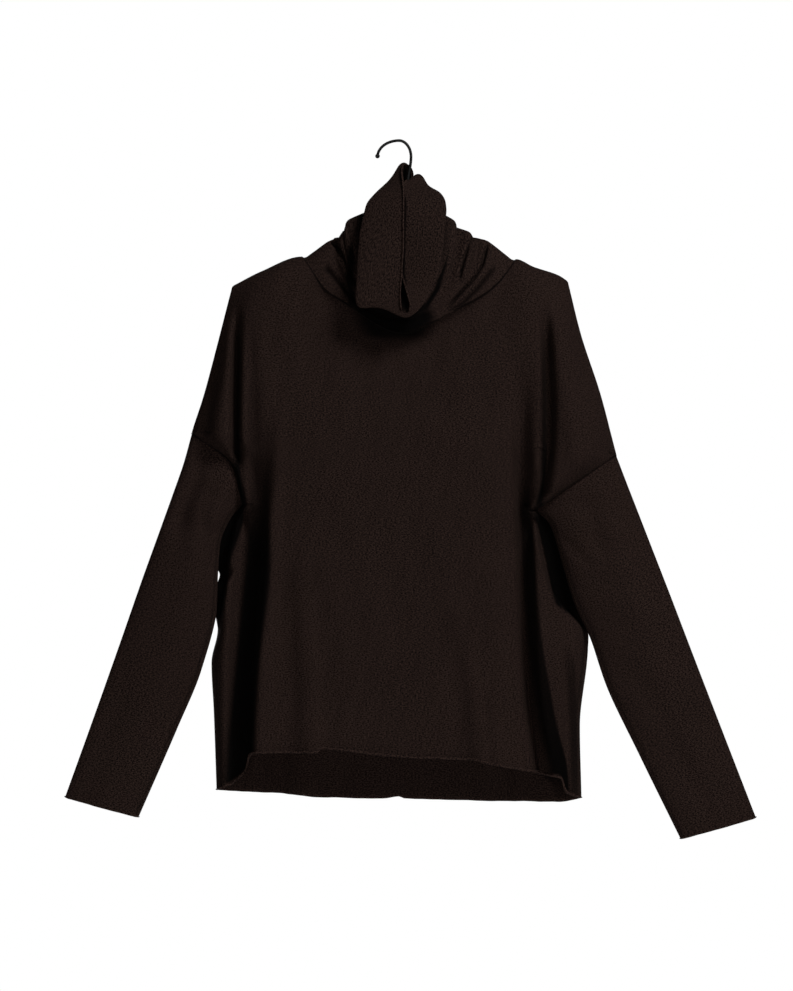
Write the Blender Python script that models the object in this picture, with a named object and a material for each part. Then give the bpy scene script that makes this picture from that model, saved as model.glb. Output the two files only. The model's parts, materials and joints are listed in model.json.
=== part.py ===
# Turtleneck of soft jersey on a slim hanger, hung up by its wire hook.
# Metres, +Z up. The front faces -Y, and the origin is inside the top of the hook.
# Every height is a drop below that origin, so z = -drop.
import math

import bmesh
import bpy
import numpy as np

# Driving sizes
WALL = 0.0015            # cloth thickness
SEAM_GAP = 0.0004        # space between two sewn pieces
WIRE = 0.003             # hook wire diameter
BALL = 0.0052            # ball on the wire's free end
HOOK_TOP = WIRE / 2      # height of the wire's centre over the origin
HOOK_LEFT = 0.0258       # reach of the hook's left quarter
HOOK_RIGHT = 0.0144      # reach of the hook's right quarter
HOOK_FALL = 0.0195       # height of the hook's quarters
STEM_X = 0.010           # the straight stem inside the collar

# Body levels, both side edges: the drop and x of each, then how far front and back stand off
BODY_LEVELS = (
    # name, right drop, right x, left drop, left x, front depth, back depth
    ("shoulder tip", 0.1740, -0.1996, 0.1680, 0.2020, 0.024, 0.022),
    ("upper drape", 0.2480, -0.2184, 0.2300, 0.2172, 0.030, 0.026),
    ("lower drape", 0.3060, -0.2340, 0.3036, 0.2412, 0.034, 0.028),
    ("armhole top", 0.3492, -0.2484, 0.3756, 0.2604, 0.036, 0.029),
    ("armhole bend", 0.3870, -0.1990, 0.4092, 0.2100, 0.036, 0.029),
    ("armpit", 0.4344, -0.1872, 0.4416, 0.1632, 0.035, 0.029),
    ("under the arm", 0.4600, -0.1895, 0.4620, 0.1655, 0.034, 0.028),
    ("ribs", 0.5110, -0.2100, 0.5120, 0.1905, 0.033, 0.027),
    ("waist", 0.5540, -0.2145, 0.5530, 0.2072, 0.032, 0.026),
    ("below the waist", 0.5916, -0.2160, 0.5916, 0.2205, 0.031, 0.025),
    ("hip", 0.6252, -0.2215, 0.6200, 0.2220, 0.030, 0.025),
    ("low hip", 0.6840, -0.2190, 0.7020, 0.2145, 0.029, 0.024),
    ("hem", 0.7764, -0.2165, 0.7860, 0.2165, 0.028, 0.024),
)
ARMHOLE_TOP = 3          # rows of BODY_LEVELS where the armhole starts and ends
ARMPIT = 5

SHOULDER_LINE = (
    # x, drop
    (-0.1996, 0.1740),
    (-0.1644, 0.1560),
    (-0.1164, 0.1385),
    (0.1404, 0.1416),
    (0.1608, 0.1506),
    (0.1908, 0.1608),
    (0.2020, 0.1680),
)
NECK_RIGHT_X = -0.1164
NECK_LEFT_X = 0.1404
FRONT_NECKLINE = (
    # x, drop
    (-0.1164, 0.1385),
    (-0.1032, 0.1572),
    (-0.0888, 0.1776),
    (-0.0732, 0.1880),
    (0.0072, 0.2292),
    (0.0576, 0.2060),
    (0.1032, 0.1824),
    (0.1236, 0.1644),
    (0.1404, 0.1416),
)
BACK_NECK_SAG = 0.010    # the back neckline's dip below its ends
FRONT_NECK_DEPTH = 0.045
BACK_NECK_DEPTH = 0.028
SHOULDER_ROUND = 0.034   # how far below the shoulder seam the cloth is still turning down

FRONT_HEM = (
    # x, drop
    (-0.2165, 0.7764),
    (-0.1968, 0.7650),
    (-0.1850, 0.7480),
    (-0.1700, 0.7320),
    (-0.1390, 0.7300),
    (-0.1020, 0.7300),
    (-0.0960, 0.7250),
    (-0.0230, 0.7330),
    (0.0950, 0.7390),
    (0.1130, 0.7450),
    (0.1550, 0.7530),
    (0.1930, 0.7608),
    (0.1990, 0.7780),
    (0.2165, 0.7860),
)
BACK_HEM = (
    # x, drop
    (-0.2165, 0.7764),
    (-0.1330, 0.7820),
    (-0.0900, 0.7860),
    (0.0250, 0.7880),
    (0.1930, 0.7910),
    (0.2165, 0.7860),
)

# Large folds: each runs from its start to its end drop, and stands out (+) or in (-) by its rise
FRONT_FOLDS = (
    # name, start, end, x at start, x midway, x at end, half width, rise at start, rise at end
    ("right shoulder drape", 0.180, 0.460, -0.2040, -0.2180, -0.2230, 0.012, 0.006, 0.008),
    ("right armpit valley", 0.205, 0.500, -0.1930, -0.1935, -0.1850, 0.012, -0.014, -0.018),
    ("right bust trough", 0.360, 0.980, -0.1640, -0.1850, -0.1880, 0.016, -0.010, -0.022),
    ("right bust crest", 0.370, 0.980, -0.1450, -0.1610, -0.1700, 0.015, 0.005, 0.012),
    ("right soft fold", 0.560, 0.800, -0.1090, -0.1040, -0.1010, 0.016, 0.003, 0.006),
    ("left armpit valley", 0.190, 0.500, 0.1720, 0.1800, 0.1580, 0.012, -0.012, -0.018),
    ("left shoulder drape", 0.190, 0.430, 0.2020, 0.2120, 0.2240, 0.014, 0.004, 0.006),
    ("left bust trough", 0.320, 0.980, 0.1460, 0.1600, 0.2300, 0.013, -0.010, -0.022),
    ("left bust crest", 0.430, 0.980, 0.1280, 0.1360, 0.1900, 0.016, 0.004, 0.010),
    ("left soft fold", 0.590, 0.980, 0.0810, 0.0980, 0.1080, 0.016, 0.003, 0.007),
    ("centre sway", 0.300, 0.980, -0.0300, 0.0000, 0.0100, 0.060, 0.002, -0.005),
)
BACK_FOLDS = (
    # name, start, end, x at start, x midway, x at end, half width, rise at start, rise at end
    ("right shoulder drape", 0.190, 0.460, -0.2030, -0.2150, -0.2230, 0.014, 0.005, 0.006),
    ("right armpit valley", 0.215, 0.520, -0.1900, -0.1890, -0.1780, 0.013, -0.010, -0.014),
    ("right back fold", 0.430, 0.980, -0.1350, -0.1500, -0.1560, 0.018, 0.004, 0.009),
    ("right back trough", 0.460, 0.980, -0.1000, -0.1080, -0.1120, 0.016, -0.003, -0.009),
    ("middle fold", 0.520, 0.980, 0.0050, 0.0040, 0.0030, 0.018, 0.002, 0.007),
    ("left back trough", 0.450, 0.980, 0.0980, 0.1050, 0.1120, 0.017, -0.003, -0.009),
    ("left back fold", 0.430, 0.980, 0.1300, 0.1450, 0.1600, 0.018, 0.004, 0.009),
    ("left armpit valley", 0.205, 0.520, 0.1760, 0.1800, 0.1600, 0.013, -0.010, -0.014),
)
SIDE_ROUND = 0.055       # how far from a side edge the cloth is still turning
FOLD_EDGE = 0.030        # folds die out this near to a side edge
LEAST_DEPTH = 0.0012     # what a trough leaves between the panel and the middle plane

ARM_GAP = 0.0007         # the armhole seam is opened this much, for its tight turns
ARM_DEPTH = 0.013        # half the armhole's opening from front to back
ARMPIT_WAY = (0.917, 0.4)    # outward and upward: how the sleeve leaves the armpit
# Sleeve sections: the outer edge, the under edge, and half the thickness between the two layers
SLEEVE_RIGHT = (
    # name, outer x, outer drop, under x, under drop, half depth
    ("upper arm", -0.2580, 0.3850, -0.2076, 0.4560, 0.0140),
    ("mid upper arm", -0.2700, 0.4200, -0.2150, 0.4850, 0.0140),
    ("above the elbow", -0.2850, 0.4620, -0.2212, 0.5200, 0.0135),
    ("elbow", -0.3060, 0.5200, -0.2212, 0.5650, 0.0130),
    ("forearm", -0.3340, 0.6000, -0.2380, 0.6370, 0.0120),
    ("low forearm", -0.3660, 0.6900, -0.2680, 0.7060, 0.0110),
    ("cuff", -0.4003, 0.7855, -0.3120, 0.8100, 0.0100),
)
SLEEVE_LEFT = (
    # name, outer x, outer drop, under x, under drop, half depth
    ("upper arm", 0.2710, 0.4040, 0.1805, 0.4620, 0.0140),
    ("mid upper arm", 0.2860, 0.4430, 0.1965, 0.5120, 0.0140),
    ("above the elbow", 0.3030, 0.4870, 0.2110, 0.5530, 0.0135),
    ("elbow", 0.3240, 0.5410, 0.2290, 0.6000, 0.0130),
    ("forearm", 0.3520, 0.6140, 0.2500, 0.6520, 0.0120),
    ("low forearm", 0.3880, 0.7070, 0.2900, 0.7380, 0.0110),
    ("cuff", 0.4278, 0.8100, 0.3372, 0.8358, 0.0100),
)

# Collar sections from the neck seam to the folded flap. Each is a loop with round or square
# lower corners and a roof that narrows to the hook.
COLLAR_LOOPS = (
    # name, right x, left x, side drop, bottom drop, top drop, bottom y, side y, top y, corner, roof
    ("first ridge", -0.0860, 0.1000, 0.1190, 0.2160, 0.1050, -0.045, -0.010, 0.025, 1.00, 0.6),
    ("first dip", -0.0710, 0.0760, 0.1140, 0.2070, 0.0860, -0.043, -0.012, 0.021, 0.95, 0.8),
    ("second ridge", -0.0625, 0.0665, 0.0960, 0.1990, 0.0660, -0.042, -0.019, 0.018, 0.90, 0.9),
    ("tuck", -0.0260, 0.0300, 0.0880, 0.1850, 0.0480, -0.047, -0.029, 0.013, 0.80, 1.0),
    ("flap edge", -0.0490, 0.0550, 0.0830, 0.2125, 0.0275, -0.0630, -0.050, 0.009, 0.55, 1.0),
)
ROOF_X = 0.010           # where the roofs meet, round the stem
# The raw mouth: a narrow slit that the stem leaves at the top, with a drop-shaped foot
MOUTH = (
    # drop, middle x, half width, y
    (0.0262, 0.0125, 0.0082, 0.0050),
    (0.0360, 0.0105, 0.0070, -0.0085),
    (0.0500, 0.0045, 0.0024, -0.0200),
    (0.1000, 0.0066, 0.0019, -0.0430),
    (0.1400, 0.0052, 0.0018, -0.0500),
    (0.1670, 0.0040, 0.0021, -0.0560),
    (0.1900, 0.0068, 0.0058, -0.0630),
    (0.2075, 0.0085, 0.0062, -0.0685),
)
MOUTH_SIDE = 0.100       # drop of the mouth's side points
MOUTH_ROUND_TOP = 0.0360
MOUTH_ROUND_FOOT = 0.1900

# Hanger bar, hidden in the shoulders
BAR_SEAT = 0.0006        # space between the bar and the shoulder seam
BAR_END = 0.013          # how far inside the shoulder tips the bar ends
BAR_PEAK = 0.116         # drop of the bar's top under the hook
BAR_HALF_HEIGHT = 0.007
BAR_HALF_DEPTH = 0.0032

# Mesh density
SHOULDER_COLUMNS = (12, 22, 10)
SHOULDER_ROWS = 6
ROW_CROWDING = 2.2       # rows lie closer together under the shoulder seam
ARM_SEGMENTS = 6         # along the front half of an armhole
FRONT_ROWS = 13
BACK_ROWS = 8
SLEEVE_RINGS = 13
COLLAR_STEPS = (0.0, 0.18, 0.82)    # where rings lie from one collar section to the next
WIRE_SIDES = 8
BAR_SIDES = 8

CLOTH_COLOUR = (0.020, 0.015, 0.014, 1.0)
BAR_COLOUR = (0.030, 0.029, 0.028, 1.0)
WIRE_COLOUR = (0.012, 0.012, 0.012, 1.0)


def curve(rows, knot, value, at):
    # Value of one column at a place on another, smooth and without overshoot between rows.
    knots = [row[knot] for row in rows]
    values = [row[value] for row in rows]
    slopes = [(values[k + 1] - values[k]) / (knots[k + 1] - knots[k]) for k in range(len(knots) - 1)]
    leans = [slopes[0]]
    for before, after in zip(slopes, slopes[1:]):
        leans.append(2 * before * after / (before + after) if before * after > 0 else 0.0)
    leans.append(slopes[-1])
    k = min(max(int(np.searchsorted(knots, at)) - 1, 0), len(slopes) - 1)
    span = knots[k + 1] - knots[k]
    t = min(max((at - knots[k]) / span, 0.0), 1.0)
    rest = 1 - t
    return (
        (1 + 2 * t) * rest * rest * values[k]
        + t * rest * rest * span * leans[k]
        + t * t * (3 - 2 * t) * values[k + 1]
        - t * t * rest * span * leans[k + 1]
    )


def numbered(rows):
    # The same rows with their place in the table in front, to run a curve from row to row.
    return [(float(place),) + tuple(row) for place, row in enumerate(rows)]


def mix(low, high, share):
    return low + (high - low) * share


def ramp(value):
    value = min(max(value, 0.0), 1.0)
    return value * value * (3 - 2 * value)


def unit(vector):
    return vector / max(np.linalg.norm(vector), 1e-12)


def column_shares():
    # Shares of the panel's width, with a column at each end of the neckline.
    first, middle, last = SHOULDER_COLUMNS
    right_tip, left_tip = SHOULDER_LINE[0][0], SHOULDER_LINE[-1][0]
    width = left_tip - right_tip
    neck_right = (NECK_RIGHT_X - right_tip) / width
    neck_left = (NECK_LEFT_X - right_tip) / width
    return np.concatenate([
        np.linspace(0, neck_right, first + 1)[:-1],
        np.linspace(neck_right, neck_left, middle + 1)[:-1],
        np.linspace(neck_left, 1, last + 1),
    ])


def neck_point(x, side):
    # Neckline point at x, on the front (side -1) or the back (side 1).
    across = (2 * x - NECK_RIGHT_X - NECK_LEFT_X) / (NECK_LEFT_X - NECK_RIGHT_X)
    bow = math.sqrt(max(1 - across * across, 0.0))
    if side < 0:
        return -FRONT_NECK_DEPTH * bow, curve(FRONT_NECKLINE, 0, 1, x)
    ends = mix(SHOULDER_LINE[2][1], SHOULDER_LINE[3][1], (across + 1) / 2)
    return BACK_NECK_DEPTH * bow, ends + BACK_NECK_SAG * bow


def top_edge(x, side):
    if NECK_RIGHT_X < x < NECK_LEFT_X:
        return neck_point(x, side)
    return 0.0, curve(SHOULDER_LINE, 0, 1, x)


def neck_ring():
    # Inner points round the neckline: right end, front, left end, back.
    count = SHOULDER_COLUMNS[1]
    points = []
    for step in range(count):
        x = mix(NECK_RIGHT_X, NECK_LEFT_X, step / count)
        y, drop = neck_point(x, -1)
        points.append((x, y, -drop))
    for step in range(count):
        x = mix(NECK_LEFT_X, NECK_RIGHT_X, step / count)
        y, drop = neck_point(x, 1)
        points.append((x, y, -drop))
    return np.array(points)


def ring_frames(points, onward):
    # For each point of a seam loop: the way the next piece goes on, and the way out of the cloth.
    around = np.roll(points, -1, axis=0) - np.roll(points, 1, axis=0)
    middle = points.mean(axis=0)
    ways, outs = [], []
    for point, tangent, way in zip(points, around, onward):
        tangent = unit(tangent)
        way = unit(way - tangent * way.dot(tangent))
        out = unit(np.cross(tangent, way))
        if out.dot(point - middle) < 0:
            out = -out
        ways.append(way)
        outs.append(out)
    return np.array(ways), np.array(outs)


def neck_frames():
    points = neck_ring()
    peak = np.array((ROOF_X, 0.0, -0.06))
    return (points,) + ring_frames(points, [unit(peak - point) for point in points])


def arm_edge(sign, share):
    # x and drop on the armhole seam, from the top (0) to the armpit (1).
    drop_column, x_column = (2, 3) if sign < 0 else (4, 5)
    rows = numbered(BODY_LEVELS)[ARMHOLE_TOP:ARMPIT + 1]
    start, middle, end = rows
    first = math.hypot(middle[drop_column] - start[drop_column], middle[x_column] - start[x_column])
    second = math.hypot(end[drop_column] - middle[drop_column], end[x_column] - middle[x_column])
    bend = first / (first + second)
    placed = [(share_of,) + row for share_of, row in zip((0.0, bend, 1.0), rows)]
    return curve(placed, 0, x_column + 1, share), curve(placed, 0, drop_column + 1, share)


def arm_ring(sign):
    # Inner points round the armhole: top, front, armpit, back.
    points, onward = [], []
    count = 2 * ARM_SEGMENTS
    for step in range(count):
        angle = 2 * math.pi * step / count
        share = (1 - math.cos(angle)) / 2
        x, drop = arm_edge(sign, share)
        ahead_x, ahead_drop = arm_edge(sign, min(share + 0.02, 1.0))
        behind_x, behind_drop = arm_edge(sign, max(share - 0.02, 0.0))
        along = unit(np.array((ahead_x - behind_x, 0.0, behind_drop - ahead_drop)))
        way = np.array((along[2], 0.0, -along[0])) * -sign
        way = unit(mix(way, np.array((sign * ARMPIT_WAY[0], 0.0, ARMPIT_WAY[1])), share ** 4))
        points.append((x, -ARM_DEPTH * math.sin(angle), -drop))
        onward.append(way)
    points = np.array(points)
    return (points,) + ring_frames(points, onward)


def fold_rise(x, drop, folds):
    total = 0.0
    for name, start, end, x_start, x_mid, x_end, half_width, rise_start, rise_end in folds:
        t = (drop - start) / (end - start)
        if not 0 < t < 1:
            continue
        line = ((0.0, x_start), (0.5, x_mid), (1.0, x_end))
        off = (x - curve(line, 0, 1, t)) / half_width
        total += mix(rise_start, rise_end, t) * math.exp(-off * off) * ramp(t / 0.2) * ramp((1 - t) / 0.2)
    return total


def panel_rows(body_rows):
    # One entry for each row: block, share of the block, then drop and x of both side edges.
    rows = []
    levels = numbered(BODY_LEVELS)
    upper = levels[:ARMHOLE_TOP + 1]
    for step in range(SHOULDER_ROWS):
        share = (step / SHOULDER_ROWS) ** ROW_CROWDING
        right_drop = mix(upper[0][2], upper[-1][2], share)
        left_drop = mix(upper[0][4], upper[-1][4], share)
        rows.append(("drape", share, right_drop, curve(upper, 2, 3, right_drop),
                     left_drop, curve(upper, 4, 5, left_drop), 0.0))
    for step in range(ARM_SEGMENTS + 1):
        angle = math.pi * step / ARM_SEGMENTS
        share = (1 - math.cos(angle)) / 2
        right_x, right_drop = arm_edge(-1, share)
        left_x, left_drop = arm_edge(1, share)
        rows.append(("armhole", share, right_drop, right_x, left_drop, left_x, ARM_DEPTH * math.sin(angle)))
    lower = levels[ARMPIT:]
    for step in range(1, body_rows + 1):
        share = step / body_rows
        right_drop = mix(lower[0][2], lower[-1][2], share)
        left_drop = mix(lower[0][4], lower[-1][4], share)
        rows.append(("body", share, right_drop, curve(lower, 2, 3, right_drop),
                     left_drop, curve(lower, 4, 5, left_drop), 0.0))
    return rows


def panel_points(side, body_rows):
    # Inner face of the front (side -1) or the back (side 1), row by row.
    folds = FRONT_FOLDS if side < 0 else BACK_FOLDS
    hem = FRONT_HEM if side < 0 else BACK_HEM
    depth_column = 6 if side < 0 else 7
    levels = numbered(BODY_LEVELS)
    right_tip, left_tip = SHOULDER_LINE[0][0], SHOULDER_LINE[-1][0]
    grid = []
    for block, share, right_drop, right_x, left_drop, left_x, edge_depth in panel_rows(body_rows):
        line = []
        for across in column_shares():
            x = mix(right_x, left_x, across)
            side_drop = mix(right_drop, left_drop, across)
            top_x = mix(right_tip, left_tip, across)
            top_y, top_drop = top_edge(top_x, side)
            drop = side_drop
            if block == "drape":
                drop = mix(top_drop, mix(levels[ARMHOLE_TOP][2], levels[ARMHOLE_TOP][4], across), share)
            if block == "body":
                armpit_drop = mix(levels[ARMPIT][2], levels[ARMPIT][4], across)
                drop = mix(armpit_drop, curve(hem, 0, 1, x), share)
            level_drop = min(max(side_drop, levels[0][2]), levels[-1][2])
            full = curve(levels, 2, depth_column, level_drop)
            from_edge = max(min(x - right_x, left_x - x), 0.0)
            lens = math.sqrt(1 - (1 - min(from_edge / SIDE_ROUND, 1.0)) ** 2)
            depth = mix(edge_depth, full, lens)
            depth += fold_rise(x, drop, folds) * ramp(from_edge / FOLD_EDGE)
            turn = 1 - min(max(drop - top_drop, 0.0) / SHOULDER_ROUND, 1.0)
            round_down = math.sqrt(1 - turn * turn)
            depth = mix(abs(top_y), depth, round_down)
            if 0 < across < 1 and round_down > 0:
                depth = max(depth, LEAST_DEPTH)
            line.append((x, side * (SEAM_GAP / 2 + depth), -drop))
        grid.append(line)
    return np.array(grid)


def directions(grid, axis, closed):
    # Way along the grid at each point: the mean of the unit ways to it and on from it.
    ahead = np.roll(grid, -1, axis=axis) - grid
    ahead = ahead / np.maximum(np.linalg.norm(ahead, axis=2, keepdims=True), 1e-12)
    if closed:
        return ahead + np.roll(ahead, 1, axis=axis)
    ways = np.moveaxis(ahead, axis, 0)
    ways[-1] = ways[-2]
    total = ways.copy()
    total[1:] += ways[:-1]
    return np.moveaxis(total, 0, axis)


def grid_normals(grid, closed):
    normals = np.cross(directions(grid, 1, closed), directions(grid, 0, False))
    return normals / np.maximum(np.linalg.norm(normals, axis=2, keepdims=True), 1e-12)


def shell(name, inner, outer, closed, material):
    # Closed wall between two grids of points, open at its ends or edges.
    rows, columns = inner.shape[:2]
    mesh = bpy.data.meshes.new(name)
    build = bmesh.new()
    faces = [
        [[build.verts.new(point) for point in row] for row in grid] for grid in (inner, outer)
    ]
    spans = columns if closed else columns - 1
    for row in range(rows - 1):
        for column in range(spans):
            after = (column + 1) % columns
            for grid in faces:
                here, below = grid[row], grid[row + 1]
                build.faces.new((here[column], here[after], below[after], below[column]))
    low, high = faces
    for row in (0, rows - 1):
        for column in range(spans):
            after = (column + 1) % columns
            build.faces.new((low[row][column], low[row][after], high[row][after], high[row][column]))
    if not closed:
        for column in (0, columns - 1):
            for row in range(rows - 1):
                below = row + 1
                build.faces.new((low[row][column], low[below][column], high[below][column], high[row][column]))
    return finish(name, mesh, build, material)


def finish(name, mesh, build, material):
    bmesh.ops.recalc_face_normals(build, faces=build.faces)
    build.to_mesh(mesh)
    build.free()
    mesh.shade_smooth()
    mesh.set_sharp_from_angle(angle=math.radians(50))
    mesh.materials.append(material)
    made = bpy.data.objects.new(name, mesh)
    bpy.context.collection.objects.link(made)
    return made


def finish_material(name, colour, roughness, metallic):
    material = bpy.data.materials.new(name)
    material.use_nodes = True
    shader = material.node_tree.nodes["Principled BSDF"]
    shader.inputs["Base Color"].default_value = colour
    shader.inputs["Roughness"].default_value = roughness
    shader.inputs["Metallic"].default_value = metallic
    return material


def make_panel(name, side, body_rows):
    inner = panel_points(side, body_rows)
    out = grid_normals(inner, False)
    out *= np.where(out[..., 1:2] * side < 0, -1, 1)
    out[..., 1] = side * np.maximum(out[..., 1] * side, 0.0)
    for row in range(ARM_SEGMENTS + 1):
        for column, sign in ((0, -1), (-1, 1)):
            point_on_ring = row if side < 0 else -row
            out[SHOULDER_ROWS + row, column] = arm_ring(sign)[2][point_on_ring]
    neck_outs = neck_frames()[2]
    first, middle, last = SHOULDER_COLUMNS
    for step in range(middle + 1):
        point_on_ring = step if side < 0 else -step
        out[0, first + step] = neck_outs[point_on_ring]
    for row in range(len(out)):
        for column in range(len(out[row])):
            out[row, column, 1] = side * max(out[row, column, 1] * side, 0.0)
            out[row, column] = unit(out[row, column])
    material = finish_material(name + "_jersey", CLOTH_COLOUR, 0.9, 0.0)
    return shell(name, inner, inner + WALL * out, False, material)


def make_sleeve(name, sign, sections):
    count = 2 * ARM_SEGMENTS
    seam, ways, seam_outs = arm_ring(sign)
    rings = [seam + ARM_GAP * ways]
    armhole_top = arm_edge(sign, 0.0)
    armpit = arm_edge(sign, 1.0)
    table = numbered([("armhole",) + armhole_top + armpit + (ARM_DEPTH,)] + list(sections))
    for step in range(1, SLEEVE_RINGS + 1):
        place = step * len(sections) / SLEEVE_RINGS
        outer_x, outer_drop, under_x, under_drop, half_depth = [
            curve(table, 0, column, place) for column in range(2, 7)
        ]
        top = np.array((outer_x, 0.0, -outer_drop))
        under = np.array((under_x, 0.0, -under_drop))
        inset = WALL * unit(under - top)
        top, under = top + inset, under - inset
        ring = []
        for point in range(count):
            angle = 2 * math.pi * point / count
            place_on_edge = mix(top, under, (1 - math.cos(angle)) / 2)
            ring.append(place_on_edge + np.array((0.0, -half_depth * math.sin(angle), 0.0)))
        rings.append(np.array(ring))
    inner = np.array(rings)
    out = grid_normals(inner, True)
    middle = inner.mean(axis=1, keepdims=True)
    if ((inner - middle) * out).sum() < 0:
        out = -out
    out[0] = seam_outs
    material = finish_material(name + "_jersey", CLOTH_COLOUR, 0.9, 0.0)
    return shell(name, inner, inner + WALL * out, True, material)


def collar_loop(row):
    # Points in the neck ring's order: right side, bottom front, left side, top back.
    (name, right_x, left_x, side_drop, bottom_drop, top_drop,
     bottom_y, side_y, top_y, corner, roof) = row
    count = SHOULDER_COLUMNS[1]
    middle_x = (right_x + left_x) / 2
    points = []
    for step in range(count):
        angle = math.pi * step / count
        reach = math.cos(angle)
        sink = math.sin(angle)
        end_x = right_x if reach > 0 else left_x
        x = mix(middle_x, end_x, abs(reach) ** corner)
        points.append((x, mix(side_y, bottom_y, sink), -mix(side_drop, bottom_drop, sink ** corner)))
    for step in range(count):
        climb = 1 - abs(1 - 2 * step / count)
        end_x = left_x if step < count / 2 else right_x
        inward = mix(1 - math.cos(climb * math.pi / 2), climb, roof)
        upward = mix(math.sin(climb * math.pi / 2), climb, roof)
        drop = mix(side_drop, top_drop, upward)
        points.append((mix(end_x, ROOF_X, inward), mix(side_y, top_y, upward), -drop))
    return np.array(points)


def mouth_point(drop, sign):
    half_width = curve(MOUTH, 0, 2, drop)
    end, rounding = MOUTH[0][0], MOUTH_ROUND_TOP
    if drop > MOUTH_SIDE:
        end, rounding = MOUTH[-1][0], MOUTH_ROUND_FOOT
    into_end = min(max((drop - rounding) / (end - rounding), 0.0), 1.0)
    half_width *= math.sqrt(1 - into_end * into_end)
    return curve(MOUTH, 0, 1, drop) + sign * half_width, curve(MOUTH, 0, 3, drop), -drop


def mouth_loop():
    count = SHOULDER_COLUMNS[1]
    points = []
    for step in range(count):
        angle = math.pi * step / count
        drop = mix(MOUTH_SIDE, MOUTH[-1][0], math.sin(angle))
        points.append(mouth_point(drop, -1 if math.cos(angle) > 0 else 1))
    for step in range(count):
        angle = math.pi * step / count
        drop = mix(MOUTH_SIDE, MOUTH[0][0], math.sin(angle))
        points.append(mouth_point(drop, 1 if math.cos(angle) > 0 else -1))
    return np.array(points)


def through(loops, place):
    # Smooth curve through a list of loops, at a place counted in loops.
    k = min(int(place), len(loops) - 2)
    t = place - k
    here, after = loops[k], loops[k + 1]
    lean_here = (after - loops[max(k - 1, 0)]) / 2
    lean_after = (loops[min(k + 2, len(loops) - 1)] - here) / 2
    rest = 1 - t
    return (
        (1 + 2 * t) * rest * rest * here + t * rest * rest * lean_here
        + t * t * (3 - 2 * t) * after - t * t * rest * lean_after
    )


def make_collar():
    seam, ways, seam_outs = neck_frames()
    foot = seam + SEAM_GAP * ways + WALL / 2 * seam_outs
    loops = [foot] + [collar_loop(row) for row in COLLAR_LOOPS] + [mouth_loop()]
    places = [span + share for span in range(len(loops) - 1) for share in COLLAR_STEPS]
    middle = np.array([through(loops, place) for place in places + [len(loops) - 1]])
    out = grid_normals(middle, True)
    if (out[1] * seam_outs).sum() < 0:
        out = -out
    out[0] = seam_outs
    half = WALL / 2 * out
    material = finish_material("collar_jersey", CLOTH_COLOUR, 0.9, 0.0)
    return shell("collar", middle - half, middle + half, True, material)


def rod(name, centres, half_across, half_depths, sides, material):
    # Closed rod along a path in the XZ plane, with its own half sizes at each centre.
    centres = np.array(centres)
    tangents = np.gradient(centres, axis=0)
    mesh = bpy.data.meshes.new(name)
    build = bmesh.new()
    rings = []
    for centre, tangent, across, depth in zip(centres, tangents, half_across, half_depths):
        tangent = unit(tangent)
        over = np.array((-tangent[2], 0.0, tangent[0]))
        ring = []
        for side in range(sides):
            angle = 2 * math.pi * side / sides
            ring.append(build.verts.new(
                centre + over * across * math.cos(angle) + np.array((0.0, depth * math.sin(angle), 0.0))))
        rings.append(ring)
    for ring, after in zip(rings, rings[1:]):
        for side in range(sides):
            build.faces.new((ring[side], ring[(side + 1) % sides], after[(side + 1) % sides], after[side]))
    build.faces.new(rings[0])
    build.faces.new(rings[-1])
    return finish(name, mesh, build, material)


def make_hook():
    centres, radii = [], []
    tip_x, tip_z = -HOOK_LEFT, HOOK_TOP - HOOK_FALL
    for angle in (20, 55, 90, 125):
        centres.append((tip_x, 0.0, tip_z - BALL / 2 * math.cos(math.radians(angle))))
        radii.append(BALL / 2 * math.sin(math.radians(angle)))
    for step in range(10):
        angle = math.pi - math.pi / 2 * (step + 1.2) / 10.2
        centres.append((HOOK_LEFT * math.cos(angle), 0.0, tip_z + HOOK_FALL * math.sin(angle)))
        radii.append(WIRE / 2)
    for step in range(1, 10):
        angle = math.pi / 2 * (1 - step / 10)
        centres.append((HOOK_RIGHT * math.cos(angle), 0.0, HOOK_TOP - HOOK_FALL * (1 - math.sin(angle))))
        radii.append(WIRE / 2)
    stem_top = HOOK_TOP - HOOK_FALL
    for step in range(1, 9):
        fall = 0.036 * step / 8
        centres.append((mix(HOOK_RIGHT, STEM_X, ramp(step / 8)), 0.0, stem_top - fall))
        radii.append(WIRE / 2)
    centres.append((STEM_X, 0.0, -BAR_PEAK + SEAM_GAP))
    radii.append(WIRE / 2)
    material = finish_material("hook_wire", WIRE_COLOUR, 0.35, 0.9)
    return rod("hook", centres, radii, radii, WIRE_SIDES, material)


def make_hanger():
    start = SHOULDER_LINE[0][0] + BAR_END
    end = SHOULDER_LINE[-1][0] - BAR_END
    top_line = (
        SHOULDER_LINE[:3] + ((STEM_X, BAR_PEAK - BAR_SEAT),) + SHOULDER_LINE[3:]
    )
    centres, across, depths = [], [], []
    count = 28
    for step in range(count + 1):
        x = mix(start, end, step / count)
        taper = math.sqrt(1 - (abs(2 * step / count - 1) * 0.98) ** 12)
        half_height = BAR_HALF_HEIGHT * mix(0.45, 1.0, taper)
        centres.append((x, 0.0, -curve(top_line, 0, 1, x) - BAR_SEAT - half_height * 1.06))
        across.append(half_height)
        depths.append(BAR_HALF_DEPTH * mix(0.45, 1.0, taper))
    material = finish_material("hanger_plastic", BAR_COLOUR, 0.5, 0.0)
    return rod("hanger", centres, across, depths, BAR_SIDES, material)


def clear_scene():
    for item in list(bpy.data.objects):
        bpy.data.objects.remove(item, do_unlink=True)


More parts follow.
